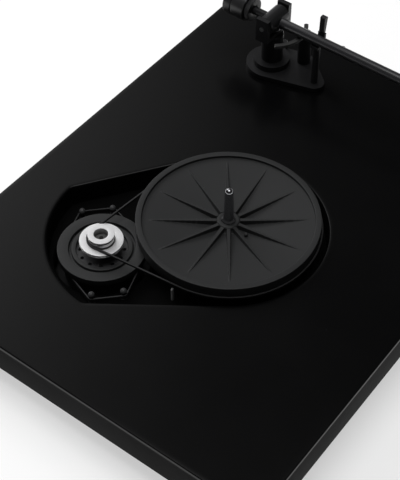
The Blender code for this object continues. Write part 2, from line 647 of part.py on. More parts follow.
def make_switch():
    """Rocker switch in a small housing under the front left edge."""
    x = -PLINTH_WIDTH / 2 + 0.080
    front = -PLINTH_DEPTH / 2 + 0.010
    low = UNDER - GAP - 0.013
    housing = shell("switch_housing", (x - 0.014, front, low), (x + 0.014, front + 0.018, UNDER - GAP),
                    0.0015, BLACK_MOULDING)
    half = 0.0085
    middle = low + 0.0065
    window = box("switch_window_cutter", (x - half - 0.0014, front - 0.004, middle - 0.0038),
                 (x + half + 0.0014, front + 0.004, middle + 0.0038), None, cutter=True)
    combine(housing, window)
    axis = empty("switch_axis", (x, front + 0.004, middle))
    rise = 0.0040
    outline = [(-half, 0.0), (-half, rise + 0.0024), (0.0, rise + 0.0006), (half, rise + 0.0010),
               (half, 0.0), (0.0, -0.0030)]
    rocker = plate("switch_rocker", [outline], -0.0032, 0.0032, BLACK_MOULDING, parent=axis)
    rocker.rotation_euler = (0, 0, math.pi)


# ---------------------------------------------------------------- tonearm, fixed pieces
def make_arm_base(frame):
    """Plate and threaded pillar through the plinth, with a nut below."""
    low = TOP + GAP
    high = low + BASE_THICKNESS
    rest = (REST_DISTANCE, 0.0, 0.009)
    lift = (LIFT_CIRCLE * math.cos(LIFT_POST_ANGLE), LIFT_CIRCLE * math.sin(LIFT_POST_ANGLE), 0.010)
    base = plate("arm_base", [wrap([(0, 0, BASE_RADIUS), rest, lift], 64)], low, high,
                 BLACK_ALUMINIUM, parent=frame)
    base.location.z -= frame.location.z
    hole(base, "arm_base_cutter", (0, 0, 0), PILLAR_THREAD + GAP, low - 0.01, high + 0.01,
         parent=frame)
    collar = BASE_RADIUS - 0.006
    bore = SWING_SHAFT + RUN
    bottom = UNDER - GAP - 0.007
    bore_floor = TOP + 0.010
    turned("arm_pillar", [(0, bore_floor), (bore, bore_floor), (bore, PILLAR_TOP),
           (PILLAR_RADIUS - 0.0006, PILLAR_TOP), (PILLAR_RADIUS, PILLAR_TOP - 0.0006),
           (PILLAR_RADIUS, high + GAP + 0.005), (collar, high + GAP + 0.005), (collar, high + GAP),
           (PILLAR_THREAD, high + GAP), (PILLAR_THREAD, bottom), (0, bottom)], (0, 0, 0),
           BLACK_ALUMINIUM, 24, parent=frame)
    hex_nut("arm_nut", PILLAR_THREAD, bottom + 0.001, UNDER - GAP, parent=frame)
    dial_at = (-0.003, 0.0215, 0)
    return high, dial_at


def make_arm_rest(frame, seat):
    """Post with a cradle open towards the record, and a latch that folds over the tube."""
    low = seat + GAP
    floor = ARM_HEIGHT - TUBE_RADIUS - GAP
    half = 0.0030
    post = turned("arm_rest", rod(half, low, floor - 0.0010), (REST_DISTANCE, 0, 0), BLACK_MOULDING,
                  24, parent=frame)
    wall = TUBE_RADIUS + GAP + 0.0005
    bottom = -TUBE_RADIUS - GAP
    outline = [(wall + 0.0022, bottom - 0.0024), (wall + 0.0022, TUBE_RADIUS), (wall, TUBE_RADIUS),
               (wall, bottom + 0.0020), (wall - 0.0020, bottom), (-TUBE_RADIUS, bottom),
               (-TUBE_RADIUS, bottom - 0.0024)]
    cradle = plate("cradle", [list(reversed(outline))], -0.0034, 0.0034, None, parent=frame,
                   cutter=True)
    cradle.location = (REST_DISTANCE, 0, ARM_HEIGHT)
    cradle.rotation_euler = (math.pi / 2, 0, math.pi / 2)
    combine(post, cradle, 'UNION')
    hinge_y = wall + 0.0011
    barrel = 0.0014
    hinge_z = TUBE_RADIUS + GAP + barrel
    axis = empty("latch_axis", (REST_DISTANCE, hinge_y, ARM_HEIGHT + hinge_z), parent=frame)
    reach = 2 * TUBE_RADIUS + 0.004
    loop = wrap([(0, 0, barrel), (0.0022, reach, 0.0010), (-0.0002, reach, 0.0010)], 32)
    latch = plate("arm_rest_latch", [loop], -0.0024, 0.0024, BLACK_MOULDING, parent=axis)
    latch.rotation_euler = (math.pi / 2, 0, math.pi / 2)


def make_cueing(frame, seat):
    """Lift cylinder, the curved bar that carries the arm, and its lever."""
    x = LIFT_CIRCLE * math.cos(LIFT_POST_ANGLE)
    y = LIFT_CIRCLE * math.sin(LIFT_POST_ANGLE)
    low = seat + GAP
    top = ARM_HEIGHT - TUBE_RADIUS - 0.0100
    bore = LIFT_ROD + RUN
    turned("cueing_cylinder", [(0, low + 0.003), (bore, low + 0.003), (bore, top), (0.0052, top),
           (0.0058, top - 0.0006), (0.0058, low), (0, low)], (x, y, 0), BLACK_ALUMINIUM, 24,
           parent=frame)
    bar_top = ARM_HEIGHT - TUBE_RADIUS - 0.0006
    half = 0.0018
    track = arc((0, 0), LIFT_CIRCLE + half, LIFT_SWEEP, LIFT_POST_ANGLE, 20)
    track += arc((0, 0), LIFT_CIRCLE - half, LIFT_POST_ANGLE, LIFT_SWEEP, 20)
    bar = plate("lift_bar", [track], bar_top - 0.0026, bar_top, BLACK_RUBBER, parent=frame)
    bar.location.z -= frame.location.z
    combine(bar, turned("lift_rod", rod(LIFT_ROD - 0.00005, low + 0.012, bar_top - 0.0010), (x, y, 0),
                        None, 16, parent=frame, cutter=True), 'UNION')
    pivot_z = low + 0.014
    axis = empty("cue_lever_axis", (x, y + 0.0062 + GAP, pivot_z), parent=frame)
    lever = wrap([(0, 0, 0.0034), (0.034, 0.012, 0.0014)], 32)
    made = plate("cue_lever", [lever], 0.0002, 0.0026, BLACK_ALUMINIUM, parent=axis)
    made.rotation_euler = (math.pi / 2, 0, 0)
    made.location = (0, 0.0014, 0)


def make_anti_skate(frame, seat, at):
    """Small dial on the arm base that sets the side force."""
    low = seat + GAP
    axis = empty("anti_skate_axis", (at[0], at[1], low), parent=frame)
    turned("anti_skate_dial", [(0, 0.006), (0.0034, 0.006), (0.0040, 0.0054), (0.0046, 0.0010),
           (0.0046, 0), (0, 0)], (0, 0, 0), BLACK_ALUMINIUM, 24, parent=axis)


# ---------------------------------------------------------------- tonearm, moving pieces
def make_yoke(swing):
    """Fork that turns on the pillar, its shaft, and the two cup screws that hold the hub."""
    low = PILLAR_TOP + GAP - ARM_HEIGHT
    inner = HUB_BLOCK_HALF + 0.0008
    outer = inner + YOKE_ARM
    floor = low + 0.004
    high = HUB_BLOCK_RADIUS + 0.001
    outline = [(-outer, low), (outer, low), (outer, high), (inner, high), (inner, floor),
               (-inner, floor), (-inner, high), (-outer, high)]
    yoke = plate("gimbal_yoke", [outline], -YOKE_HALF_LENGTH, YOKE_HALF_LENGTH, BLACK_ALUMINIUM,
                 parent=swing)
    yoke.location = (0, 0, 0)
    yoke.rotation_euler = (math.pi / 2, 0, math.pi / 2)
    hole(yoke, "yoke_shaft_cutter", (0, 0, 0), SWING_SHAFT + GAP, low - 0.002, floor + 0.002, 24,
         parent=swing)
    cup = 0.0020
    for side, sign in (("near", -1), ("far", 1)):
        hole(yoke, f"cup_{side}_cutter", (0, sign * (inner + YOKE_ARM / 2), 0), cup + GAP,
             -YOKE_ARM, YOKE_ARM, 20, rotation=ALONG_Y, parent=swing)
        turned(f"pivot_screw_{side}", [(0, YOKE_ARM + 0.0008), (cup, YOKE_ARM + 0.0008),
               (cup, -0.0022), (0.0010, -0.0035), (0, -0.0035)],
               (0, sign * inner, 0), POLISHED_STEEL, 20,
               parent=swing, rotation=ALONG_Y if sign > 0 else (math.pi / 2, 0, 0))
    head = floor + GAP
    turned("swing_shaft", [(0, head + 0.001), (SWING_SHAFT + 0.002, head + 0.001),
           (SWING_SHAFT + 0.002, head), (SWING_SHAFT, head), (SWING_SHAFT, TOP + 0.013 - ARM_HEIGHT),
           (0, TOP + 0.013 - ARM_HEIGHT)], (0, 0, 0), POLISHED_STEEL, 24, parent=swing)
    return cup


def make_arm(lift, cup):
    """Hub block, tube, stub and counterweight with its dial, all along the tube's axis."""
    hub = turned("arm_hub", rod(HUB_BLOCK_RADIUS, -HUB_BLOCK_HALF, HUB_BLOCK_HALF, 0.0010),
                 (0, 0, 0), BLACK_ALUMINIUM, 24, parent=lift, rotation=ALONG_Y)
    for side, sign in (("near", -1), ("far", 1)):
        hole(hub, f"hub_{side}_cutter", (0, sign * HUB_BLOCK_HALF, 0), cup + RUN, -0.0036, 0.0036, 20,
             rotation=ALONG_Y, parent=lift)
    shell_from = tube_end()
    start = HUB_BLOCK_RADIUS + GAP
    turned("arm_tube", washer(TUBE_RADIUS - TUBE_WALL, TUBE_RADIUS, start, shell_from - GAP),
           (0, 0, 0), CARBON, 24, ring=True, parent=lift, rotation=ALONG_X)
    combine(hub, turned("stub", rod(STUB_RADIUS, -STUB_LENGTH, -0.006, 0.0004), (0, 0, 0), None, 24,
                        parent=lift, rotation=ALONG_X, cutter=True), 'UNION')
    weight = empty("counterweight_axis", (-WEIGHT_START, 0, 0), parent=lift)
    rear = WEIGHT_RADIUS
    turned("counterweight", [(STUB_RADIUS + RUN, 0), (rear - 0.001, 0), (rear, -0.001),
           (rear, -0.0125), (rear - 0.0006, -0.0131), (rear, -0.0137), (rear, 0.001 - WEIGHT_LENGTH),
           (rear - 0.001, -WEIGHT_LENGTH), (STUB_RADIUS + RUN, -WEIGHT_LENGTH)],
           (0, 0, 0), BLACK_PAINT, 24, ring=True, parent=weight, rotation=ALONG_X)
    dial = empty("force_dial_axis", (GAP, 0, 0), parent=weight)
    turned("force_dial", washer(STUB_RADIUS + RUN, DIAL_RADIUS, 0, DIAL_LENGTH), (0, 0, 0),
           BLACK_MOULDING, 24, ring=True, parent=dial, rotation=ALONG_X)


def tube_end():
    """Length of the tube that puts the stylus at the arm's effective length."""
    aside = STYLUS_FROM_TUBE * math.sin(OFFSET_ANGLE)
    along = STYLUS_FROM_TUBE * math.cos(OFFSET_ANGLE)
    return math.sqrt(ARM_LENGTH ** 2 - aside ** 2) - along


def make_headshell(lift):
    """Flat shell set at the offset angle, with its cartridge, stylus and finger lift."""
    shell_frame = empty("headshell_frame", (tube_end(), 0, 0), -OFFSET_ANGLE, lift)
    half = SHELL_WIDTH / 2
    back = 0.0018
    outline = wrap([(back + 0.0035, -0.0035, 0.0035), (SHELL_LENGTH - 0.003, 0.003 - half, 0.003),
                    (SHELL_LENGTH - 0.003, half - 0.003, 0.003), (back + 0.0035, 0.0035, 0.0035)], 32)
    slot = 0.0014
    bolts = (STYLUS_FROM_TUBE - 0.0095, 0.00635)
    slots = [wrap([(bolts[0] - 0.004, sign * bolts[1], slot), (bolts[0] + 0.004, sign * bolts[1], slot)],
                  16) for sign in (-1, 1)]
    low = -SHELL_THICKNESS / 2
    shell_piece = plate("headshell", [outline] + slots, low, -low, BLACK_ALUMINIUM,
                        parent=shell_frame)
    shell_piece.location = (0, 0, 0)
    body_top = low - GAP
    body_low = RECORD_HEIGHT + 0.0055 - ARM_HEIGHT
    body = bevel(box("cartridge_body", (bolts[0] - 0.014, -0.0083, body_low),
                     (STYLUS_FROM_TUBE + 0.001, 0.0083, body_top), BLACK_MOULDING,
                     parent=shell_frame), 0.0008)
    for name, sign in (("near", -1), ("far", 1)):
        spot = (bolts[0], sign * bolts[1], 0)
        hole(body, f"cartridge_{name}_cutter", spot, 0.0013, body_top - 0.004, body_top + 0.004, 12,
             parent=shell_frame)
        turned(f"cartridge_screw_{name}", [(0, GAP - low + 0.0014), (0.0020, GAP - low + 0.0014),
               (0.0020, GAP - low), (0.0010, GAP - low), (0.0010, body_top - 0.0035),
               (0, body_top - 0.0035)], spot, POLISHED_STEEL, 12, parent=shell_frame)
    tip = RECORD_HEIGHT - ARM_HEIGHT
    holder_top = body_low - GAP
    holder = box("stylus_holder", (STYLUS_FROM_TUBE - 0.016, -0.0045, holder_top - 0.0030),
                 (STYLUS_FROM_TUBE - 0.001, 0.0045, holder_top), RED_STYLUS, parent=shell_frame)
    bevel(holder, 0.0008)
    root = (STYLUS_FROM_TUBE - 0.0062, holder_top - 0.0030 - GAP)
    lean = math.atan2(root[1] - tip - 0.0002, STYLUS_FROM_TUBE - root[0])
    length = math.hypot(root[1] - tip, STYLUS_FROM_TUBE - root[0])
    needle = [(0, length), (0.0004, length - 0.0006), (0.0004, -0.002), (0, -0.002)]
    combine(holder, turned("cantilever", needle, (root[0], 0, root[1]), None, 12,
                           parent=shell_frame, rotation=(0, math.pi / 2 + lean, 0), cutter=True),
            'UNION')
    reach = half + 0.015
    finger = plate("finger_lift", [wrap([(SHELL_LENGTH - 0.0100, half - 0.003, 0.0020),
                   (SHELL_LENGTH - 0.0055, half - 0.003, 0.0020),
                   (SHELL_LENGTH - 0.0110, reach, 0.0010)], 24)], -0.0006, 0.0006, None,
                   parent=shell_frame, cutter=True)
    finger.location = (0, 0, 0)
    combine(shell_piece, finger, 'UNION')


def make_tonearm():
    frame = empty("arm_frame", (*PIVOT, 0), ARM_REST_ANGLE)
    seat, dial_at = make_arm_base(frame)
    make_arm_rest(frame, seat)
    make_cueing(frame, seat)
    make_anti_skate(frame, seat, dial_at)
    swing = empty("arm_swing_axis", (0, 0, ARM_HEIGHT), parent=frame)
    cup = make_yoke(swing)
    lift = empty("arm_lift_axis", (0, 0, 0), parent=swing)
    make_arm(lift, cup)
    make_headshell(lift)


make_plinth()
make_feet()
make_bearing()
make_sub_platter()
make_motor()
make_motor_mount()
make_pulley()
make_belt()
make_guide_post()
make_motor_cover()
make_rear_boxes()
make_switch()
make_tonearm()
bpy.context.view_layer.update()
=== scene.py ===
"""Looks of the belt-drive turntable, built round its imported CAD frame."""
import json
import math

import bmesh
import bpy
import numpy as np
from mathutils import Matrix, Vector


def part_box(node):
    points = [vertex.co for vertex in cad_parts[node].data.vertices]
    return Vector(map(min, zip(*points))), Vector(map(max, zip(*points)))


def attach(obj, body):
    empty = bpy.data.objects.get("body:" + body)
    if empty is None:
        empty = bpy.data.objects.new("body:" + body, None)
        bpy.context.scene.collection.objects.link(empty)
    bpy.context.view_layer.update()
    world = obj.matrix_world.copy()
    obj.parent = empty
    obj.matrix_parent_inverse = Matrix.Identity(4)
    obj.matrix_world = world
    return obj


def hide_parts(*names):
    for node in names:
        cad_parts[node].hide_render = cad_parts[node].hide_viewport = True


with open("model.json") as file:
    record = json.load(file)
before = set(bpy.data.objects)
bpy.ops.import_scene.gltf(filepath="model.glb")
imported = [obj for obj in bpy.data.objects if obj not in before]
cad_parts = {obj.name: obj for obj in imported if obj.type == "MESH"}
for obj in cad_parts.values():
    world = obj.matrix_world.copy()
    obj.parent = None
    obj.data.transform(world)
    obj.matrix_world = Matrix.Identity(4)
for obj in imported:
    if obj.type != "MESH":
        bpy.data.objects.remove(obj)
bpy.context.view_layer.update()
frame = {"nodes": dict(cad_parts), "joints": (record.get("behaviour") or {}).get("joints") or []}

joints = {joint["name"]: joint for joint in frame["joints"]}

# ---------------------------------------------------------------- studio
# A pale table top under soft daylight, with the camera looking down over the front left
# corner. The room that gloss reflects is bright at the back left and overhead and falls
# away to the right, and the background is white.
spindle_at = np.array(joints["platter_spin"]["pos_m"])
spindle_centre = (spindle_at[0], spindle_at[1], 0.0)
deck_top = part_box("plinth")[1].z

camera_tilt = math.radians(48.4)
camera_heading = math.radians(37.0)
camera_data = bpy.data.cameras.new("camera")
camera_data.lens = 94.9
camera_data.sensor_width = 36.0
camera_data.clip_start = 0.01
camera = bpy.data.objects.new("camera", camera_data)
camera.location = (spindle_at[0] - 0.5409, spindle_at[1] - 0.3801, deck_top + 0.7286)
camera.rotation_euler = (math.pi / 2 - camera_tilt, 0.0, camera_heading - math.pi / 2)
bpy.context.scene.collection.objects.link(camera)
bpy.context.scene.camera = camera
bpy.context.scene.view_settings.view_transform = 'Standard'


def seen_ray(tree):
    """1 for camera, glossy and transmission rays, 0 for the rays that light surfaces."""
    path = tree.nodes.new("ShaderNodeLightPath")
    total = path.outputs["Is Camera Ray"]
    for name in ("Is Glossy Ray", "Is Transmission Ray"):
        add = tree.nodes.new("ShaderNodeMath")
        add.operation = 'MAXIMUM'
        tree.links.new(total, add.inputs[0])
        tree.links.new(path.outputs[name], add.inputs[1])
        total = add.outputs[0]
    return total


def math_node(tree, operation, a, b=None):
    """Math node fed by sockets or plain numbers; returns its output."""
    node = tree.nodes.new("ShaderNodeMath")
    node.operation = operation
    for slot, value in zip(node.inputs, (a, b)):
        if value is None:
            continue
        if isinstance(value, (int, float)):
            slot.default_value = value
        else:
            tree.links.new(value, slot)
    return node.outputs[0]


def range_node(tree, value, low, high, to_low, to_high):
    """Value carried in a straight line from one range to another, and held at its ends."""
    node = tree.nodes.new("ShaderNodeMapRange")
    for label, number in (("From Min", low), ("From Max", high), ("To Min", to_low),
                          ("To Max", to_high)):
        node.inputs[label].default_value = number
    tree.links.new(value, node.inputs["Value"])
    return node.outputs[0]


def build_world():
    """White to the camera; to gloss, a dim room with one tall window and a bright ceiling.

    The window's glow is 0.034 + 0.38 t squared, where t grows from 0 to 2.18 as the cosine
    to the window's middle goes from 0.844 to 1.004.
    """
    world = bpy.data.worlds.new("studio")
    world.use_nodes = True
    bpy.context.scene.world = world
    tree = world.node_tree
    nodes, links = tree.nodes, tree.links
    shade = nodes["Background"]
    shade.inputs["Color"].default_value = (1.0, 1.0, 1.0, 1.0)
    path = nodes.new("ShaderNodeLightPath")
    where = nodes.new("ShaderNodeTexCoord")
    window = nodes.new("ShaderNodeVectorMath")
    window.operation = 'DOT_PRODUCT'
    heading, rise = math.radians(68.7), math.radians(34.4)
    window.inputs[1].default_value = (math.cos(heading) * math.cos(rise),
                                      math.sin(heading) * math.cos(rise), math.sin(rise))
    links.new(where.outputs["Generated"], window.inputs[0])
    near = range_node(tree, window.outputs["Value"], 0.844, 1.004, 0.0, 2.18)
    glow = math_node(tree, 'MULTIPLY', math_node(tree, 'MULTIPLY', near, near), 0.38)
    glow = math_node(tree, 'ADD', glow, 0.034)
    lift = nodes.new("ShaderNodeSeparateXYZ")
    links.new(where.outputs["Generated"], lift.inputs[0])
    ceiling = range_node(tree, lift.outputs["Z"], 0.90, 0.99, 0.0, 2.4)
    room = math_node(tree, 'ADD', glow, ceiling)
    clear = math_node(tree, 'MAXIMUM', path.outputs["Is Camera Ray"],
                      path.outputs["Is Transmission Ray"])
    inside = math_node(tree, 'MULTIPLY', math_node(tree, 'SUBTRACT', 1.0, clear), room)
    total = math_node(tree, 'ADD', inside, clear)
    links.new(total, shade.inputs["Strength"])


def area_light(name, at, size, power):
    """Square lamp aimed at the object's foot, left out of what the camera and gloss see."""
    data = bpy.data.lights.new(name, 'AREA')
    data.shape = 'SQUARE'
    data.size = size
    data.energy = power
    lamp = bpy.data.objects.new(name, data)
    lamp.location = at
    lamp.rotation_euler = (-Vector(at)).to_track_quat('-Z', 'Y').to_euler()
    lamp.visible_camera = False
    lamp.visible_glossy = False
    bpy.context.scene.collection.objects.link(lamp)


def build_floor():
    """Pale table top that keeps the object's soft shadow and turns plain white far away."""
    half = 6.0
    mesh = bpy.data.meshes.new("table_top")
    mesh.from_pydata([(-half, -half, 0), (half, -half, 0), (half, half, 0), (-half, half, 0)], [],
                     [(0, 1, 2, 3)])
    floor = bpy.data.objects.new("table_top", mesh)
    bpy.context.scene.collection.objects.link(floor)
    made = bpy.data.materials.new("table_top")
    made.use_nodes = True
    nodes, links = made.node_tree.nodes, made.node_tree.links
    shader = nodes["Principled BSDF"]
    shader.inputs["Base Color"].default_value = (0.90, 0.90, 0.90, 1.0)
    shader.inputs["Roughness"].default_value = 0.7
    glow = nodes.new("ShaderNodeEmission")
    glow.inputs["Strength"].default_value = 1.0
    mix = nodes.new("ShaderNodeMixShader")
    away = nodes.new("ShaderNodeVectorMath")
    away.operation = 'LENGTH'
    links.new(nodes.new("ShaderNodeTexCoord").outputs["Object"], away.inputs[0])
    far = range_node(made.node_tree, away.outputs["Value"], 0.6, 2.6, 0.55, 1.0)
    links.new(math_node(made.node_tree, 'MULTIPLY', seen_ray(made.node_tree), far), mix.inputs[0])
    links.new(shader.outputs[0], mix.inputs[1])
    links.new(glow.outputs[0], mix.inputs[2])
    links.new(mix.outputs[0], nodes["Material Output"].inputs["Surface"])
    mesh.materials.append(made)


build_world()
build_floor()
area_light("window", (0.4, 1.9, 1.2), 0.9, 36.0)
area_light("ceiling", (-0.1, 0.35, 2.2), 1.1, 20.0)

# ---------------------------------------------------------------- plinth
# One slab of fibreboard with a pocket milled into its top for the motor, the belt and the
# sub-platter. Every edge is eased, then the whole slab is sprayed in satin black lacquer.
black_lacquer = (0.0012, 0.0012, 0.0013)
edge_round = 0.0012
pocket_round = 0.0016
floor_round = 0.0010
hole_bevel = 0.0006
corner_round = 0.0025
motor_at = np.array(joints["pulley_spin"]["pos_m"])
motor_centre = (motor_at[0], motor_at[1], 0.0)


def shader_nodes(name):
    """New material with its tree, links and Principled shader."""
    made = bpy.data.materials.new(name)
    made.use_nodes = True
    tree = made.node_tree
    return made, tree, tree.links, tree.nodes["Principled BSDF"]


def new_group(name, inputs, outputs):
    """Empty shader node group with named float (F) and vector (V) sockets."""
    group = bpy.data.node_groups.new(name, 'ShaderNodeTree')
    kinds = {"F": "NodeSocketFloat", "V": "NodeSocketVector"}
    for label, kind, value in inputs:
        socket = group.interface.new_socket(label, in_out='INPUT', socket_type=kinds[kind])
        if value is not None:
            socket.default_value = value
    for label, kind in outputs:
        group.interface.new_socket(label, in_out='OUTPUT', socket_type=kinds[kind])
    return group, group.nodes.new("NodeGroupInput"), group.nodes.new("NodeGroupOutput")


def noise_node(tree, vector, scale, detail=2.0, rough=0.5):
    node = tree.nodes.new("ShaderNodeTexNoise")
    node.inputs["Scale"].default_value = scale
    node.inputs["Detail"].default_value = detail
    node.inputs["Roughness"].default_value = rough
    tree.links.new(vector, node.inputs["Vector"])
    return node.outputs["Fac"]


def build_surface_wear():
    """Group: handling marks, dust specks and fine grain at sizes given in metres."""
    group, given, out = new_group(
        "surface_wear",
        [("Vector", "V", None), ("Grain Size", "F", 0.0004), ("Dust", "F", 0.5)],
        [("Grain", "F"), ("Dust", "F"), ("Smudge", "F")])
    scale = math_node(group, 'DIVIDE', 1.0, given.outputs["Grain Size"])
    grain = group.nodes.new("ShaderNodeTexNoise")
    grain.inputs["Detail"].default_value = 3.0
    group.links.new(given.outputs["Vector"], grain.inputs["Vector"])
    group.links.new(scale, grain.inputs["Scale"])
    group.links.new(grain.outputs["Fac"], out.inputs["Grain"])
    specks = group.nodes.new("ShaderNodeTexVoronoi")
    specks.inputs["Scale"].default_value = 260.0
    group.links.new(given.outputs["Vector"], specks.inputs["Vector"])
    near = range_node(group, specks.outputs["Distance"], 0.02, 0.07, 1.0, 0.0)
    sparse = noise_node(group, given.outputs["Vector"], 40.0, 1.0)
    few = range_node(group, sparse, 0.58, 0.66, 0.0, 1.0)
    dust = math_node(group, 'MULTIPLY', math_node(group, 'MULTIPLY', near, few),
                     given.outputs["Dust"])
    group.links.new(dust, out.inputs["Dust"])
    smudge = noise_node(group, given.outputs["Vector"], 9.0, 4.0, 0.6)
    group.links.new(smudge, out.inputs["Smudge"])
    return group


surface_wear = build_surface_wear()


def add_group(tree, group, vector, **values):
    """Place a node group in a material with its own values."""
    node = tree.nodes.new("ShaderNodeGroup")
    node.node_tree = group
    tree.links.new(vector, node.inputs["Vector"])
    for label, value in values.items():
        node.inputs[label.replace("_", " ")].default_value = value
    return node


def object_coords(tree, shift=None, turn=None):
    """Object coordinates, moved and turned by a Mapping node where a pattern needs a centre."""
    where = tree.nodes.new("ShaderNodeTexCoord").outputs["Object"]
    if shift is None and turn is None:
        return where
    mapping = tree.nodes.new("ShaderNodeMapping")
    mapping.vector_type = 'TEXTURE'
    if shift is not None:
        mapping.inputs["Location"].default_value = shift
    if turn is not None:
        mapping.inputs["Rotation"].default_value = turn
    tree.links.new(where, mapping.inputs["Vector"])
    return mapping.outputs[0]


def mix_colour(tree, factor, a, b):
    node = tree.nodes.new("ShaderNodeMix")
    node.data_type = 'RGBA'
    node.inputs[6].default_value = (*a, 1.0)
    node.inputs[7].default_value = (*b, 1.0)
    tree.links.new(factor, node.inputs[0])
    return node.outputs[2]


def bump(tree, height, distance):
    node = tree.nodes.new("ShaderNodeBump")
    node.inputs["Distance"].default_value = distance
    tree.links.new(height, node.inputs["Height"])
    return node.outputs[0]


def finish_mesh(name, points, faces, sharp):
    """Weld, turn outwards, smooth and name a closed mesh; its place stays in its points."""
    mesh = bpy.data.meshes.new(name)
    mesh.from_pydata(points.reshape(-1, 3).tolist(), [], [tuple(face) for face in faces])
    bm = bmesh.new()
    bm.from_mesh(mesh)
    bmesh.ops.remove_doubles(bm, verts=bm.verts, dist=1e-7)
    bmesh.ops.recalc_face_normals(bm, faces=bm.faces)
    bm.to_mesh(mesh)
    bm.free()
    mesh.shade_smooth()
    mesh.set_sharp_from_angle(angle=math.radians(sharp))
    made = bpy.data.objects.new(name, mesh)
    bpy.context.scene.collection.objects.link(made)
    return made


def loft(name, rows, ring, sharp):
    """Skin over closed loops: rows[i, j] is point j of loop i, and j wraps round.

    ring joins the last loop to the first; without it both end loops have to be poles.
    """
    count, around = rows.shape[:2]
    index = np.arange(count * around).reshape(count, around)
    if ring:
        index = np.vstack([index, index[:1]])
    a, b = index[:-1], index[1:]
    quads = np.stack([a, b, np.roll(b, -1, 1), np.roll(a, -1, 1)], -1).reshape(-1, 4)
    return finish_mesh(name, rows, quads.tolist(), sharp)


def dress(piece, material, body, slot, *nodes):
    """Give a piece its material and its body, and hide the CAD nodes that it stands for. The slot
    argument is not used.
    """
    piece.data.materials.append(material)
    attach(piece, body)
    if nodes:
        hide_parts(*nodes)


def arc_points(centre, radius, start, end, count):
    """Points of an arc in the plane: centre plus radius times (cos, sin) of even angles."""
    angle = np.linspace(start, end, count)
    return np.stack([centre[0] + radius * np.cos(angle), centre[1] + radius * np.sin(angle)], -1)


def spread(outline, step):
    """Points every step or so along a closed outline, with its corners kept."""
    ahead = np.roll(outline, -1, 0)
    pieces = []
    for start, end in zip(outline, ahead):
        count = max(1, int(np.ceil(np.linalg.norm(end - start) / step)))
        share = np.arange(count)[:, None] / count
        pieces.append(start + (end - start) * share)
    return np.vstack(pieces)


def rounded_box_outline(low, high, inset, radius):
    """Rectangle with round corners, drawn inset from its real sides."""
    x0, y0, x1, y1 = low[0] + inset, low[1] + inset, high[0] - inset, high[1] - inset
    radius = max(radius - inset, 0.0002)
    corners = [((x1 - radius, y0 + radius), -90), ((x1 - radius, y1 - radius), 0),
               ((x0 + radius, y1 - radius), 90), ((x0 + radius, y0 + radius), 180)]
    return np.vstack([arc_points(at, radius, math.radians(turn), math.radians(turn + 90), 7)
                      for at, turn in corners])


rim_radius = (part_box("sub_platter")[1].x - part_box("sub_platter")[0].x) / 2
motor_reach = float(np.linalg.norm(motor_at[:2] - spindle_at[:2]))
motor_way = math.atan2(motor_at[1] - spindle_at[1], motor_at[0] - spindle_at[0])
pocket_radius = rim_radius + 0.006
pocket_end = motor_reach + 0.04215
end_radius = 0.0875
bay_half_width = 0.0617
bay_corner = 0.008
pocket_floor = deck_top - 0.020


def pocket_outline(inset):
    """Well round the spindle and two leaning sides, closed by a round end past the motor.

    The sides are tangents of the well; the end is an arc about a point between the spindle
    and the motor, and the two corners between are arcs that touch both.
    """
    lean = math.asin((pocket_radius - bay_half_width) / motor_reach)
    side = math.pi / 2 - lean
    centre = pocket_end - end_radius
    reach = end_radius - bay_corner
    turn = side - math.acos((pocket_radius - bay_corner - centre * math.cos(side)) / reach)
    middle = centre * np.array([math.cos(motor_way), math.sin(motor_way)])
    well, end, corner = pocket_radius - inset, end_radius - inset, bay_corner - inset
    near = middle + reach * np.array([math.cos(motor_way - turn), math.sin(motor_way - turn)])
    far = middle + reach * np.array([math.cos(motor_way + turn), math.sin(motor_way + turn)])
    loop = [arc_points((0, 0), well, motor_way + side, motor_way + 2 * math.pi - side, 160),
            arc_points(near, corner, motor_way - side, motor_way - turn, 14),
            arc_points(middle, end, motor_way - turn, motor_way + turn, 80)[1:-1],
            arc_points(far, corner, motor_way + turn, motor_way + side, 14)]
    return np.vstack(loop) + spindle_at[:2]


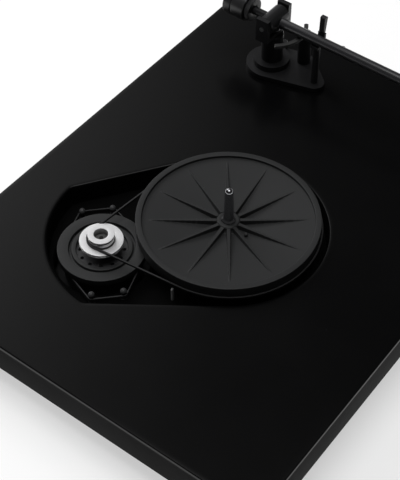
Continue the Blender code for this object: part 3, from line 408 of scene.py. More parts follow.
def make_plinth():
    """Loops cast out from the motor's axis: under face, sides, top, pocket wall and floor.

    Each loop takes one point on every ray from the motor's axis, so a ray carries a line of
    points from the slab's outside to the motor hole.
    """
    low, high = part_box("plinth")
    centre = motor_at[:2]

    def ray_angles(outline):
        return np.arctan2(outline[:, 1] - centre[1], outline[:, 0] - centre[0])

    slab = spread(rounded_box_outline(low, high, 0.0, corner_round), 0.004)
    angles = np.unique(np.round(np.concatenate([ray_angles(spread(pocket_outline(0.0), 0.002)),
                                                ray_angles(slab)]), 6))

    def cast(reach, z):
        return np.stack([centre[0] + reach * np.cos(angles), centre[1] + reach * np.sin(angles),
                         np.full(len(angles), z)], -1)

    def loop(outline, z):
        outline = spread(outline, 0.0005)
        angle = ray_angles(outline)
        order = np.argsort(angle)
        distance = np.hypot(*(outline[order] - centre).T)
        return cast(np.interp(angles, angle[order], distance, period=2 * math.pi), z)

    hole = (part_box("motor_ring")[1].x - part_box("motor_ring")[0].x) / 2 + 0.0035
    quarter = np.linspace(0.0, math.pi / 2, 6)
    flat = rounded_box_outline(low, high, 0.004, corner_round)
    rows = [cast(hole, low.z), cast(hole + 0.001, low.z), loop(flat, low.z)]
    for turn in quarter:
        inset = edge_round * (1 - math.sin(turn))
        rows.append(loop(rounded_box_outline(low, high, inset, corner_round),
                         low.z + edge_round * (1 - math.cos(turn))))
    for turn in quarter:
        inset = edge_round * (1 - math.cos(turn))
        rows.append(loop(rounded_box_outline(low, high, inset, corner_round),
                         high.z - edge_round * (1 - math.sin(turn))))
    rows.append(loop(flat, high.z))
    rows.append(loop(pocket_outline(-pocket_round - 0.002), high.z))
    for turn in quarter:
        rows.append(loop(pocket_outline(-pocket_round * (1 - math.sin(turn))),
                         high.z - pocket_round * (1 - math.cos(turn))))
    for turn in quarter:
        rows.append(loop(pocket_outline(floor_round * (1 - math.cos(turn))),
                         pocket_floor + floor_round * (1 - math.sin(turn))))
    rows.append(loop(pocket_outline(0.003), pocket_floor))
    rows.append(cast(hole + hole_bevel, pocket_floor))
    rows.append(cast(hole, pocket_floor - hole_bevel))
    return loft("lacquered_plinth", np.array(rows), ring=True, sharp=50.0)


def lacquer_material():
    """Sprayed lacquer: faint orange peel and dust on top; sides and pocket are dull and dry.

    Below the top's edge the mask raises the roughness and mixes in a black that hardly shines.
    """
    made, tree, links, shader = shader_nodes("satin_black_lacquer")
    where = object_coords(tree)
    wear = add_group(tree, surface_wear, where, Grain_Size=0.0016, Dust=0.8)
    links.new(mix_colour(tree, wear.outputs["Dust"], black_lacquer, (0.05, 0.05, 0.05)),
              shader.inputs["Base Color"])
    split = tree.nodes.new("ShaderNodeSeparateXYZ")
    links.new(where, split.inputs[0])
    down = range_node(tree, split.outputs[2], deck_top - 0.0040, deck_top - 0.0018, 1.0, 0.0)
    polish = range_node(tree, wear.outputs["Smudge"], 0.3, 0.7, 0.20, 0.26)
    links.new(math_node(tree, 'ADD', math_node(tree, 'MULTIPLY', down, 0.52), polish),
              shader.inputs["Roughness"])
    links.new(math_node(tree, 'MULTIPLY', down, 0.6), shader.inputs["Metallic"])
    links.new(bump(tree, wear.outputs["Grain"], 0.000012), shader.inputs["Normal"])
    shader.inputs["Specular IOR Level"].default_value = 0.26
    return made


dress(make_plinth(), lacquer_material(), "root", "plinth_lacquer", "plinth")

# ---------------------------------------------------------------- feet
# Four round rubber feet with a waist and a thin sole. Each is pressed and screwed up under
# a corner of the plinth.
foot_waist = 0.0125
foot_waist_drop = 0.0075
foot_sole = 0.003
foot_edge = 0.002
foot_collar = 0.003


def softened(profile, reach, closed, steps=5):
    """Profile whose corners are eased: each becomes (1-t)^2 a + 2t(1-t) corner + t^2 b.

    a and b lie on the two sides, at the given reach or at 0.45 of the side if it is short.
    """
    corner = np.array(profile, float)
    before = np.roll(corner, 1, 0) - corner
    after = np.roll(corner, -1, 0) - corner
    back = np.maximum(np.linalg.norm(before, axis=1), 1e-9)[:, None]
    ahead = np.maximum(np.linalg.norm(after, axis=1), 1e-9)[:, None]
    cut = np.minimum(reach, 0.45 * np.minimum(back, ahead))
    if not closed:
        cut[[0, -1]] = 0.0
    a = corner + before / back * cut
    b = corner + after / ahead * cut
    t = np.linspace(0.0, 1.0, steps)[:, None, None]
    curve = (1 - t) ** 2 * a + 2 * t * (1 - t) * corner + t ** 2 * b
    return curve.transpose(1, 0, 2).reshape(-1, 2)


def turned(name, profile, centre, along=(0.0, 0.0, 1.0), reach=0.0003, segments=96):
    """Profile of (radius, height) pairs turned about an axis: radius times (cos, sin).

    A profile that starts and ends on the axis closes at its poles; any other closes on itself.
    """
    closed = profile[0][0] > 1e-6
    outline = softened(profile, reach, closed)
    angle = np.linspace(0.0, 2 * math.pi, segments, endpoint=False)
    radius, height = outline[:, :1], outline[:, 1:]
    rows = np.stack([radius * np.cos(angle), radius * np.sin(angle),
                     height + 0.0 * angle], -1)
    turn = np.array(Vector(along).to_track_quat('Z', 'Y').to_matrix())
    return loft(name, rows @ turn.T + np.array(centre), ring=closed, sharp=34.0)


def rubber_material(name, colour=(0.013, 0.013, 0.013), rough=0.62, sheen=0.2):
    """Moulded rubber: soft matt skin with fine dust in its grain."""
    made, tree, links, shader = shader_nodes(name)
    where = object_coords(tree)
    wear = add_group(tree, surface_wear, where, Grain_Size=0.0005, Dust=1.0)
    worn = tuple(min(1.0, channel * 1.9 + 0.004) for channel in colour)
    share = math_node(tree, 'MULTIPLY', wear.outputs["Smudge"], 0.6)
    links.new(mix_colour(tree, math_node(tree, 'MAXIMUM', share, wear.outputs["Dust"]), colour, worn),
              shader.inputs["Base Color"])
    links.new(range_node(tree, wear.outputs["Grain"], 0.3, 0.7, rough - 0.06, rough + 0.06),
              shader.inputs["Roughness"])
    links.new(bump(tree, wear.outputs["Grain"], 0.00002), shader.inputs["Normal"])
    shader.inputs["Specular IOR Level"].default_value = 0.3
    shader.inputs["Sheen Weight"].default_value = sheen
    shader.inputs["Sheen Roughness"].default_value = 0.5
    return made


foot_rubber = rubber_material("foot_rubber")
for corner in ("front_left", "front_right", "back_left", "back_right"):
    low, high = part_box("foot_" + corner)
    middle = ((low.x + high.x) / 2, (low.y + high.y) / 2, 0.0)
    radius = (high.x - low.x) / 2
    foot = turned("rubber_foot_" + corner,
                  [(0, high.z), (radius - foot_edge, high.z), (radius - foot_edge, high.z - foot_collar),
                   (foot_waist, high.z - foot_waist_drop), (radius, foot_sole + foot_collar),
                   (radius, foot_sole), (radius - foot_edge, foot_sole), (radius - foot_edge, 0.0),
                   (0, 0.0)], middle,
                  reach=0.0007, segments=64)
    dress(foot, foot_rubber, "root", "rubber", "foot_" + corner)

# ---------------------------------------------------------------- main bearing
# A turned aluminium cup with a bronze bush and a hard ball at the bottom. It drops through
# the pocket's floor and a black nut holds it from below.


def metal_material(name, colour, rough, streak=0.05, centre=None, dark=0.85, pitch=0.0002,
                   metallic=1.0, painted_shade=None):
    """Machined metal: fine rings left by the tool round its axis, a little uneven polish.

    Its last argument is a function that turns the distance from the axis and the height into a mask of
    painted shade: there the colour is darkened to stand for the shadow in hollows.
    """
    made, tree, links, shader = shader_nodes(name)
    where = object_coords(tree, centre)
    wear = add_group(tree, surface_wear, where, Grain_Size=0.002, Dust=0.0)
    split = tree.nodes.new("ShaderNodeSeparateXYZ")
    links.new(where, split.inputs[0])
    square = math_node(tree, 'ADD', math_node(tree, 'MULTIPLY', split.outputs[0], split.outputs[0]),
                       math_node(tree, 'MULTIPLY', split.outputs[1], split.outputs[1]))
    radius = math_node(tree, 'SQRT', square)
    ring = tree.nodes.new("ShaderNodeCombineXYZ")
    links.new(radius, ring.inputs[0])
    links.new(split.outputs[2], ring.inputs[1])
    rings = noise_node(tree, ring.outputs[0], 1.0 / pitch, 2.0)
    shade = tuple(channel * dark for channel in colour)
    base = mix_colour(tree, rings, shade, colour)
    # Painted shade: where the mask is set, the colour goes towards near black for the shadow in hollows.
    if painted_shade is not None:
        shade_mix = tree.nodes.new("ShaderNodeMix")
        shade_mix.data_type = 'RGBA'
        links.new(base, shade_mix.inputs[6])
        shade_mix.inputs[7].default_value = (0.05, 0.05, 0.05, 1.0)
        links.new(painted_shade(tree, radius, split.outputs[2]), shade_mix.inputs[0])
        base = shade_mix.outputs[2]
    links.new(base, shader.inputs["Base Color"])
    smeared = math_node(tree, 'MULTIPLY', wear.outputs["Smudge"], 0.10)
    ringed = math_node(tree, 'MULTIPLY', rings, streak)
    links.new(math_node(tree, 'ADD', math_node(tree, 'ADD', smeared, ringed), rough - 0.05),
              shader.inputs["Roughness"])
    links.new(bump(tree, rings, 0.000004), shader.inputs["Normal"])
    shader.inputs["Metallic"].default_value = metallic
    return made


def wear_existing(material, *names):
    """Finish for CAD nodes whose shape is kept: every material slot takes it."""
    for name in names:
        mesh = frame["nodes"][name].data
        mesh.materials.clear()
        mesh.materials.append(material)


bearing_metal = metal_material("bearing_aluminium", (0.70, 0.70, 0.72), 0.34, centre=spindle_centre)
wear_existing(bearing_metal, "bearing_housing")
wear_existing(metal_material("bearing_steel", (0.72, 0.72, 0.74), 0.12), "bearing_ball")
wear_existing(metal_material("bearing_bronze", (0.62, 0.42, 0.20), 0.35), "bearing_bush")

# ---------------------------------------------------------------- sub-platter
# One moulding in black glass-filled plastic: a flat rim, a shallow dish and twelve nearly
# level ribs that taper outwards and run out as the dish rises. It presses onto the spindle.
rim_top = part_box("sub_platter")[1].z
rim_low = rim_top - 0.0105
rim_width = 0.0048
dish_under_rim = 0.0023
dish_fall = 0.0050
hub_radius = 0.0087
hub_top = rim_top - 0.0026
web = 0.0025
bore_radius = 0.0053
rib_count = 12
rib_first = math.radians(7.0)
rib_end = 0.0625
rib_round = 0.00030
rib_half_width = (0.0016, 0.0006)
rib_taper_length = 0.054
point_crowding = 0.88
hub_foot = 0.0015


def dish_height(radius):
    """The dish climbs in a straight line from the hub to the foot of the rim."""
    share = (radius - hub_radius) / (rim_radius - rim_width - hub_radius)
    return rim_top - dish_under_rim - dish_fall * (1.0 - share)


def smooth(value):
    """3t^2 - 2t^3 of the value held between 0 and 1."""
    t = np.clip(value, 0.0, 1.0)
    return t * t * (3 - 2 * t)


def make_sub_platter():
    """Rings from the bore out over the dish and the rim, and back along the underside.

    A point's height on the dish is the dish plus the rib's rise times a smooth step of its
    distance from the rib's middle line. The rings' points crowd together at the ribs.
    """
    sector = 2 * math.pi / rib_count
    share = np.arange(48) / 48.0
    crowd = share + point_crowding * np.sin(2 * math.pi * share) / (2 * math.pi)
    angle = (rib_first + sector * (np.arange(rib_count)[:, None] + crowd[None, :] - 0.5)).ravel()
    from_rib = np.tile((crowd - 0.5) * sector, rib_count)
    foot = rim_radius - rim_width
    radius = np.concatenate([np.linspace(hub_radius + 0.0005, 0.0130, 12),
                             np.linspace(0.0130, foot - 0.0008, 90)[1:]])[:, None]
    taper = (radius - hub_radius) / rib_taper_length
    half = rib_half_width[0] + (rib_half_width[1] - rib_half_width[0]) * taper
    level = hub_top - 0.0003
    slope = (dish_height(rib_end) - level) / (rib_end - hub_radius)
    rise = np.maximum(level + slope * (radius - hub_radius) - dish_height(radius), 0.0)
    edge = rib_round + 0.08 * np.minimum(rise, 0.0012)
    step = smooth((np.maximum(half, 0.0002) + edge / 2 - np.abs(radius * from_rib)) / edge)
    root = 1.0 - smooth((radius - hub_radius) / 0.0022)
    dish = dish_height(radius) + rise * np.maximum(step, root * 0.55)
    top = np.stack([radius * np.cos(angle), radius * np.sin(angle), dish], -1)
    inner = softened([(foot - 0.0008, dish_height(foot)), (foot, dish_height(foot)), (foot, rim_top),
                      (rim_radius, rim_top), (rim_radius, rim_low), (rim_radius - web, rim_low),
                      (rim_radius - web, dish_height(foot) - web),
                      (hub_radius, dish_height(hub_radius) - web), (hub_radius, rim_low - hub_foot),
                      (bore_radius, rim_low - hub_foot), (bore_radius, hub_top),
                      (hub_radius - 0.0004, hub_top), (hub_radius + 0.0005, hub_top - 0.0009)],
                     0.0005, False)
    inner = inner[:, :, None] + 0.0 * angle
    rest = np.stack([inner[:, 0] * np.cos(angle), inner[:, 0] * np.sin(angle), inner[:, 1]], -1)
    return loft("ribbed_sub_platter", np.concatenate([top, rest]) + np.array(spindle_centre),
                ring=True, sharp=40.0)


def moulded_material(name, colour, rough, grain=0.00035, depth=0.00001, dust=0.5, centre=None):
    """Moulded plastic: spark-eroded grain, faint flow shading, dust and a scuffed sheen."""
    made, tree, links, shader = shader_nodes(name)
    where = object_coords(tree, centre)
    wear = add_group(tree, surface_wear, where, Grain_Size=grain, Dust=dust)
    pale = tuple(channel * 1.22 + 0.001 for channel in colour)
    base = mix_colour(tree, wear.outputs["Smudge"], colour, pale)
    speck = tree.nodes.new("ShaderNodeMix")
    speck.data_type = 'RGBA'
    links.new(base, speck.inputs[6])
    speck.inputs[7].default_value = (0.10, 0.10, 0.10, 1.0)
    links.new(math_node(tree, 'MULTIPLY', wear.outputs["Dust"], 0.5), speck.inputs[0])
    links.new(speck.outputs[2], shader.inputs["Base Color"])
    links.new(range_node(tree, wear.outputs["Smudge"], 0.3, 0.7, rough - 0.05, rough + 0.05),
              shader.inputs["Roughness"])
    links.new(bump(tree, wear.outputs["Grain"], depth), shader.inputs["Normal"])
    shader.inputs["Specular IOR Level"].default_value = 0.28
    return made


platter_plastic = moulded_material("platter_moulding", (0.0165, 0.0168, 0.0172), 0.42,
                                   centre=spindle_centre)
dress(make_sub_platter(), platter_plastic, "platter", "black_moulding", "sub_platter")

gate_angle, gate_radius = math.radians(-98.6), 0.019
gate_at = (spindle_at[0] + gate_radius * math.cos(gate_angle),
           spindle_at[1] + gate_radius * math.sin(gate_angle), dish_height(gate_radius))
gate_height = 0.0024
gate = turned("moulding_gate_mark", [(0, gate_height), (0.0014, gate_height), (0.0015, -0.0004),
              (0, -0.0004)], gate_at, reach=0.0004, segments=32)
dress(gate, platter_plastic, "platter", "black_moulding")

# ---------------------------------------------------------------- spindle
# Ground and polished steel in one length, with a round nose for the record's hole. It
# widens a little down to its foot on the hub, and its shaft turns in the bearing below.
spindle_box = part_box("spindle")
spindle_radius = 0.0034
shaft_radius = 0.005
foot_radius = 0.0042
foot_flare = 0.0012
seat = hub_top + 0.0003
nose_angle = np.linspace(0.0, math.pi / 2, 12)
nose = np.stack([spindle_radius * np.sin(nose_angle),
                 spindle_box[1].z - spindle_radius * (1 - np.cos(nose_angle))], -1)
spindle_profile = [tuple(point) for point in nose]
spindle_profile += [(foot_radius, seat + 0.0016), (foot_radius + foot_flare, seat + 0.0003),
                    (foot_radius + foot_flare, seat), (shaft_radius, seat),
                    (shaft_radius, spindle_box[0].z + 0.001), (shaft_radius - 0.001, spindle_box[0].z),
                    (0, spindle_box[0].z)]
spindle_steel = metal_material("spindle_steel", (0.50, 0.50, 0.52), 0.11, centre=spindle_centre)
dress(turned("polished_spindle", spindle_profile, spindle_centre, reach=0.00025, segments=72),
      spindle_steel, "platter", "polished_steel", "spindle")

# ---------------------------------------------------------------- motor
# A small synchronous motor in a pressed steel can. A moulded ring with a groove and a
# rounded inner lip covers the can, over a sunk black face with a circle of vent holes.
ring_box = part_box("motor_ring")
ring_top = ring_box[1].z
ring_low = ring_top - 0.0058
ring_radius = 0.035
can_radius = 0.031
groove_outside = 0.0261
groove_floor = ring_top - 0.0030
lip_outside = 0.0239
lip_inside = 0.0203
lip_top = ring_top - 0.0004
ring_underside = ring_top - 0.0033
face_top = ring_top - 0.0034
face_radius = can_radius - 0.0018
hole_circle = 0.0173
hole_radius = 0.0013
hole_first = math.radians(7.0)
hole_count = 12
hole_depth = 0.0030
face_thickness = 0.0033

ring_plastic = moulded_material("motor_ring_moulding", (0.0185, 0.0188, 0.0192), 0.40,
                                centre=motor_centre)
ring_piece = turned("motor_ring_moulded",
                    [(ring_radius, ring_top), (ring_radius, ring_low), (can_radius + 0.0003, ring_low),
                     (can_radius + 0.0003, ring_underside), (lip_inside, ring_underside),
                     (lip_inside, lip_top), (lip_outside, lip_top), (lip_outside + 0.0002, groove_floor),
                     (groove_outside, groove_floor), (groove_outside, ring_top)],
                    motor_centre, reach=0.0005, segments=144)
dress(ring_piece, ring_plastic, "root", "black_moulding", "motor_ring")
hook_circle = 0.0318
hook_radius = 0.0010
band_top = deck_top - 0.0140
band_height = 0.0036
hook_spots = []
for base in (motor_way, motor_way + math.pi):
    for turn in (-math.radians(15.0), math.radians(15.0)):
        hook_spots.append((motor_at[0] + hook_circle * math.cos(base + turn),
                           motor_at[1] + hook_circle * math.sin(base + turn)))
for number, (x, y) in enumerate(hook_spots, 1):
    hook_low = band_top - band_height - 0.0004
    hook = turned(f"motor_ring_hook_{number}", [(0, ring_low + 0.0008), (hook_radius, ring_low + 0.0008),
                  (hook_radius, hook_low), (0, hook_low)], (x, y, 0.0), segments=24)
    dress(hook, ring_plastic, "root", "black_moulding")


def make_motor_face():
    """Plate of rings whose height drops by a smooth step inside each vent hole."""
    per_hole = 30
    sector = 2 * math.pi / hole_count
    angle = hole_first + np.arange(hole_count * per_hole) * (sector / per_hole)
    radius = np.concatenate([[0.0018, 0.0060, 0.0120, hole_circle - 0.0022],
                             np.linspace(hole_circle - 0.0017, hole_circle + 0.0017, 26),
                             [face_radius - 0.0002, face_radius]])[:, None]
    aside = (angle - hole_first + sector / 2) % sector - sector / 2
    away = np.hypot(radius * np.cos(aside) - hole_circle, radius * np.sin(aside))
    pit = smooth((hole_radius + 0.00015 - away) / 0.0003)
    height = face_top - hole_depth * pit
    height[-1] -= 0.0002
    top = np.stack([radius * np.cos(angle), radius * np.sin(angle), height], -1)
    low = np.array([face_radius, 0.0018])[:, None]
    under = np.stack([low * np.cos(angle), low * np.sin(angle),
                      np.full((2, len(angle)), face_top - face_thickness)], -1)
    return loft("motor_face_plate", np.concatenate([top, under]) + np.array(motor_centre), ring=True,
                sharp=50.0)


def painted_material(name, colour, rough):
    """Sprayed metal: light orange peel, uneven tone and uneven sheen."""
    made, tree, links, shader = shader_nodes(name)
    wear = add_group(tree, surface_wear, object_coords(tree), Grain_Size=0.0008, Dust=0.6)
    links.new(mix_colour(tree, wear.outputs["Smudge"], colour,
                         tuple(channel * 1.5 + 0.001 for channel in colour)),
              shader.inputs["Base Color"])
    links.new(range_node(tree, wear.outputs["Smudge"], 0.3, 0.7, rough - 0.06, rough + 0.06),
              shader.inputs["Roughness"])
    links.new(bump(tree, wear.outputs["Grain"], 0.00001), shader.inputs["Normal"])
    return made


motor_paint = painted_material("motor_paint", (0.022, 0.022, 0.023), 0.45)
dress(make_motor_face(), motor_paint, "root", "black_painted_steel", "motor_face")
wear_existing(motor_paint, "motor_can", "motor_rotor")

# ---------------------------------------------------------------- motor mount
# Four ball-headed pegs are moulded in nylon and glued into the pocket's floor. A flat
# rubber band stretched round them and the ring's hooks hangs the motor clear of the wood.
peg_plastic = moulded_material("peg_nylon", (0.030, 0.030, 0.031), 0.34)
peg_ball = 0.00265
peg_radius = 0.0016
peg_flare = 0.0012
peg_foot = 0.0005
ball_end = 2.35
peg_spots = []
for number in range(1, 5):
    low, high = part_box(f"suspension_peg_{number}")
    x, y = (low.x + high.x) / 2, (low.y + high.y) / 2
    peg_spots.append((x, y))
    turn = np.linspace(0.0, ball_end, 14)
    ball = [(peg_ball * math.sin(t), high.z - peg_ball + peg_ball * math.cos(t)) for t in turn]
    peg = turned(f"ball_peg_{number}", ball + [(peg_radius, high.z - 2 * peg_ball + 0.0004),
                 (peg_radius, low.z + peg_foot), (peg_radius + peg_flare, low.z + peg_foot),
                 (peg_radius + peg_flare, low.z), (0, low.z)], (x, y, 0.0), reach=0.0002, segments=40)
    dress(peg, peg_plastic, "root", "black_moulding", f"suspension_peg_{number}")


def wrap_outline(circles, grow, steps):
    """Line drawn tight round circles: arcs of each radius plus grow, joined by straight runs.

    The arc on a circle starts and ends where the common tangents of its neighbours touch it.
    """
    spots = np.array([circle[:2] for circle in circles])
    radii = np.array([circle[2] for circle in circles]) + grow
    ahead = np.roll(spots, -1, 0) - spots
    gap = np.linalg.norm(ahead, axis=1)
    normal = np.arctan2(ahead[:, 1], ahead[:, 0]) - np.arccos((radii - np.roll(radii, -1)) / gap)
    start = np.roll(normal, 1)
    sweep = (normal - start) % (2 * math.pi)
    pieces = []
    for spot, radius, first, turn, count in zip(spots, radii, start, sweep, steps):
        pieces.append(arc_points(spot, radius, first, first + turn, count))
    return np.vstack(pieces)


def make_loop(name, circles, low, high, inner, outer, steps, edge=0.00025):
    """Round-edged strip section carried along the wrapped outline."""
    section = softened([(inner, low), (outer, low), (outer, high), (inner, high)], edge, True)
    rows = []
    for grow, z in section:
        line = wrap_outline(circles, grow, steps)
        rows.append(np.column_stack([line, np.full(len(line), z)]))
    return loft(name, np.array(rows), ring=True, sharp=50.0)


holders = [(x, y, peg_radius) for x, y in peg_spots] + [(x, y, hook_radius) for x, y in hook_spots]
holders.sort(key=lambda spot: math.atan2(spot[1] - motor_at[1], spot[0] - motor_at[0]))
band_rubber = rubber_material("band_rubber", (0.015, 0.015, 0.0155), 0.5, 0.0)
band = make_loop("suspension_band_rubber", holders, band_top - band_height, band_top, 0.0003, 0.0014,
                 [14] * 8)
dress(band, band_rubber, "root", "rubber", "suspension_band")

# ---------------------------------------------------------------- pulley
# Turned from bright aluminium bar: a wide flange below, the belt's track, and a crowned
# top with a deep bore over the motor's shaft. The tool leaves fine rings on every face.
disc_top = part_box("pulley")[1].z - 0.0054
pulley_top = disc_top + 0.0064
disc_radius = 0.0172
track_radius = 0.0100
crown_radius = 0.01045
pulley_bore = 0.0056
foot_groove = 0.0108
bore_floor = disc_top + 0.0004
neck_radius = track_radius - 0.0014
neck_top = pulley_top - 0.0009
neck_low = pulley_top - 0.0023
track_edge = track_radius + 0.0002
waist_radius = track_radius - 0.0010
foot_low = disc_top - 0.0006
rim_groove = disc_radius - 0.0024
disc_low = disc_top - 0.0028
boss_radius = 0.0045
shaft_bore = 0.0018
boss_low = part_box("pulley")[0].z
pulley_profile = [(shaft_bore, bore_floor), (pulley_bore, bore_floor), (pulley_bore, pulley_top),
                  (crown_radius, pulley_top), (crown_radius, pulley_top - 0.0008),
                  (neck_radius, neck_top), (neck_radius, neck_low), (track_edge, pulley_top - 0.0024),
                  (track_edge, disc_top + 0.0011), (waist_radius, disc_top + 0.0009),
                  (waist_radius, foot_low), (foot_groove, foot_low), (foot_groove, disc_top),
                  (disc_radius, disc_top), (disc_radius, disc_top - 0.0008),
                  (rim_groove, disc_top - 0.0009), (rim_groove, disc_top - 0.0018),
                  (disc_radius, disc_top - 0.0019), (disc_radius, disc_low), (boss_radius, disc_low),
                  (boss_radius, boss_low), (shaft_bore, boss_low)]


def pulley_painted_shade(tree, radius, height):
    """Mask of painted shade on the pulley, for the shadow in its hollows: 0.9 times the depth in the
    bore, 0.9 in the grooves.

    A groove is where the radius is less than a limit, which runs from the foot groove's radius
    below the bore's floor to the track's radius above it.
    """
    inside = math_node(tree, 'LESS_THAN', radius, pulley_bore + 0.0001)
    depth = range_node(tree, height, bore_floor, pulley_top, 0.9, 0.0)
    limit = range_node(tree, height, bore_floor - 0.0002, bore_floor + 0.0002, foot_groove + 0.0001,
                       track_radius + 0.0001)
    groove = math_node(tree, 'MULTIPLY', math_node(tree, 'LESS_THAN', radius, limit),
                       math_node(tree, 'LESS_THAN', height, pulley_top - 0.0002))
    raised = math_node(tree, 'GREATER_THAN', height, bore_floor - 0.0012)
    outside = math_node(tree, 'MULTIPLY', math_node(tree, 'MULTIPLY', groove, raised),
                        math_node(tree, 'SUBTRACT', 0.9, inside))
    return math_node(tree, 'MAXIMUM', math_node(tree, 'MULTIPLY', inside, depth), outside)


# The pulley's colour carries painted shade: darker deeper in the bore and in the grooves, where shadow
# falls.
pulley_metal = metal_material("turned_aluminium", (0.93, 0.93, 0.94), 0.40, streak=0.10,
                              centre=motor_centre, dark=0.92, pitch=0.00035, metallic=0.7,
                              painted_shade=pulley_painted_shade)
dress(turned("turned_pulley", pulley_profile, motor_centre, reach=0.00018, segments=160),
      pulley_metal, "motor_drive", "turned_aluminium", "pulley")
wear_existing(metal_material("shaft_steel", (0.05, 0.05, 0.05), 0.4, centre=motor_centre),
              "motor_shaft")

# ---------------------------------------------------------------- belt and guide post
# A flat belt of ground black rubber runs round the sub-platter's rim and the pulley, and a
# slim metal post stands by its near run so that it can't fall under the sub-platter.
belt_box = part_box("drive_belt")
belt_rubber = rubber_material("belt_rubber", (0.013, 0.013, 0.0135), 0.5, 0.0)
belt_circles = [(spindle_at[0], spindle_at[1], rim_radius), (motor_at[0], motor_at[1], track_radius)]
belt = make_loop("drive_belt_rubber", belt_circles, belt_box[0].z, belt_box[1].z, 0.0003, 0.0016,
                 [220, 60], 0.0002)
dress(belt, belt_rubber, "root", "rubber", "drive_belt")

post_low, post_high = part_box("guide_post")
post_at = ((post_low.x + post_high.x) / 2, (post_low.y + post_high.y) / 2, 0.0)
post_radius = (post_high.x - post_low.x) / 2
post_metal = metal_material("post_aluminium", (0.85, 0.85, 0.86), 0.30, centre=post_at, metallic=0.5)
post = turned("guide_post_turned", [(0, post_high.z), (post_radius, post_high.z),
              (post_radius, post_low.z), (0, post_low.z)], post_at, segments=32)
dress(post, post_metal, "root", "turned_aluminium", "guide_post")

# ---------------------------------------------------------------- under the plinth
# Moulded covers close the motor's hole, the mains board and the phono leads. They are held
# up by small screws and hidden behind the plinth's edge.
cover_plastic = moulded_material("cover_moulding", (0.016, 0.016, 0.0165), 0.5, grain=0.0006,
                                 depth=0.00002, dust=0.8)
wear_existing(cover_plastic, "motor_cover", "power_box", "phono_box", "switch_housing", "dc_socket")
rocker_plastic = moulded_material("rocker_moulding", (0.022, 0.022, 0.023), 0.38)
wear_existing(rocker_plastic, "switch_rocker")
screw_steel = metal_material("screw_steel", (0.55, 0.55, 0.57), 0.32)
wear_existing(screw_steel, "cover_screw_1", "cover_screw_2", "cover_screw_3", "pivot_screw_near",
              "pivot_screw_far", "cartridge_screw_near", "cartridge_screw_far", "swing_shaft")
wear_existing(metal_material("gold_plating", (0.85, 0.62, 0.25), 0.24), "phono_socket_left",
              "phono_socket_right", "earth_terminal")
wear_existing(painted_material("solder_mask", (0.02, 0.14, 0.06), 0.35), "circuit_board")

# ---------------------------------------------------------------- tonearm, fixed pieces
# A cast plate with a threaded pillar through the plinth carries the arm, its rest, the
# cueing lift and the anti-skate dial. All are black anodised or moulded.
arm_pivot = np.array(joints["tonearm_swing"]["pos_m"])
arm_along = np.array(joints["counterweight_slide"]["axis"])


def anodised_material():
    """Black anodised aluminium: fine bead-blasted grain with a metallic edge to its sheen."""
    made, tree, links, shader = shader_nodes("black_anodised")
    colour = (0.018, 0.018, 0.019)
    wear = add_group(tree, surface_wear, object_coords(tree), Grain_Size=0.0003, Dust=0.3)
    links.new(mix_colour(tree, wear.outputs["Grain"], colour,
                         tuple(channel * 1.8 for channel in colour)), shader.inputs["Base Color"])
    links.new(range_node(tree, wear.outputs["Smudge"], 0.3, 0.7, 0.31, 0.43),
              shader.inputs["Roughness"])
    links.new(bump(tree, wear.outputs["Grain"], 0.000008), shader.inputs["Normal"])
    shader.inputs["Metallic"].default_value = 0.55
    return made


wear_existing(anodised_material(), "arm_base", "arm_pillar", "arm_nut", "bearing_nut", "cueing_cylinder",
              "cue_lever", "anti_skate_dial", "gimbal_yoke", "arm_hub", "headshell")
wear_existing(moulded_material("rest_moulding", (0.017, 0.017, 0.018), 0.42), "arm_rest",
              "arm_rest_latch", "cartridge_body")
wear_existing(rubber_material("lift_rubber"), "lift_bar")
wear_existing(moulded_material("stylus_moulding", (0.30, 0.025, 0.018), 0.35), "stylus_holder")

# ---------------------------------------------------------------- tonearm, moving pieces
# A carbon tube runs from the pivot block to the headshell. The counterweight and its
# knurled dial slide on the stub behind the block.


def arm_point(along):
    """Place on the resting arm's middle line, so far along the tube from the pivot."""
    return arm_pivot + arm_along * along


def arm_span(name, radius):
    """How far a round node reaches along the tube, from the pivot: nearest and furthest.

    Its box stands square to the world, so its corners reach past the node by twice the
    radius times the sine of the arm's lean.
    """
    low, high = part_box(name)
    corners = np.array([(x, y, 0.0) for x in (low.x, high.x) for y in (low.y, high.y)])
    reach = (corners - np.array([arm_pivot[0], arm_pivot[1], 0.0])) @ arm_along
    past = 2 * radius * abs(arm_along[0])
    return reach.min() + past, reach.max() - past


def knurled(name, radius, bore, start, length, teeth, depth, samples=6):
    """Ring whose outer wall's radius swings by a raised cosine between its many teeth."""
    angle = np.linspace(0.0, 2 * math.pi, teeth * samples, endpoint=False)
    wave = 0.5 + 0.5 * np.cos(teeth * angle)
    outline = softened([(bore, 0.0), (radius, 0.0), (radius, length), (bore, length)], 0.0005, True)
    share = smooth((outline[:, 0] - radius + 0.0004) / 0.0004)[:, None]
    reach = outline[:, :1] - depth * share * wave
    rows = np.stack([reach * np.cos(angle), reach * np.sin(angle), outline[:, 1:] + 0.0 * angle], -1)
    turn = np.array(Vector(arm_along).to_track_quat('Z', 'Y').to_matrix())
    return loft(name, rows @ turn.T + arm_point(start), ring=True, sharp=60.0)


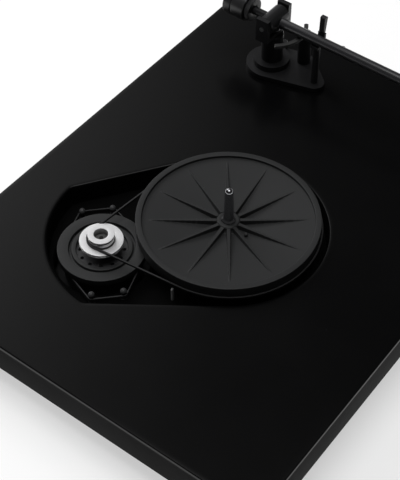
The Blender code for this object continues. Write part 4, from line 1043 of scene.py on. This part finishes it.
def carbon_material():
    """Wrapped carbon fibre under clear lacquer: crossing slanted bands of darker tow."""
    made, tree, links, shader = shader_nodes("carbon_wrap")
    where = object_coords(tree, tuple(arm_pivot), (0.0, 0.0, math.atan2(arm_along[1], arm_along[0])))
    split = tree.nodes.new("ShaderNodeSeparateXYZ")
    links.new(where, split.inputs[0])
    round_it = math_node(tree, 'MULTIPLY', math_node(tree, 'ARCTAN2', split.outputs[1],
                                                     split.outputs[2]), 6.0)
    along = math_node(tree, 'MULTIPLY', split.outputs[0], 1500.0)
    one = math_node(tree, 'SINE', math_node(tree, 'ADD', along, round_it))
    two = math_node(tree, 'SINE', math_node(tree, 'SUBTRACT', along, round_it))
    weave = range_node(tree, math_node(tree, 'MULTIPLY', one, two), -1.0, 1.0, 0.0, 1.0)
    links.new(mix_colour(tree, weave, (0.008, 0.008, 0.009), (0.026, 0.026, 0.028)),
              shader.inputs["Base Color"])
    links.new(range_node(tree, weave, 0.0, 1.0, 0.42, 0.30), shader.inputs["Roughness"])
    shader.inputs["Coat Weight"].default_value = 0.8
    shader.inputs["Coat Roughness"].default_value = 0.08
    return made


tube_radius = 0.0045
tube_bore = 0.0037
tube_start, tube_end = arm_span("arm_tube", tube_radius)
tube = turned("carbon_arm_tube", [(tube_bore, tube_start), (tube_radius, tube_start),
              (tube_radius, tube_end), (tube_bore, tube_end)], arm_point(0.0),
              arm_along, segments=64)
dress(tube, carbon_material(), "arm_lift", "carbon_tube", "arm_tube")

weight_radius = 0.0120
weight_length = 0.021
weight_groove = weight_radius - 0.0007
stub_bore = 0.0038
dial_radius = 0.0100
weight_start = arm_span("counterweight", weight_radius)[1]
weight_paint = painted_material("weight_paint", (0.014, 0.014, 0.0145), 0.36)
weight = turned("counterweight_turned",
                [(stub_bore, 0), (weight_radius, 0), (weight_radius, -0.0125),
                 (weight_groove, -0.0128), (weight_groove, -0.0134), (weight_radius, -0.0137),
                 (weight_radius, -weight_length), (stub_bore, -weight_length)],
                arm_point(weight_start), arm_along, reach=0.0008, segments=96)
dress(weight, weight_paint, "counterweight", "black_painted_steel", "counterweight")
dial_start, dial_end = arm_span("force_dial", dial_radius)
dial_plastic = moulded_material("dial_moulding", (0.019, 0.019, 0.020), 0.38)
dial = knurled("force_dial_knurled", dial_radius, stub_bore, dial_start, dial_end - dial_start,
               teeth=60, depth=0.0003)
dress(dial, dial_plastic, "force_dial", "black_moulding", "force_dial")
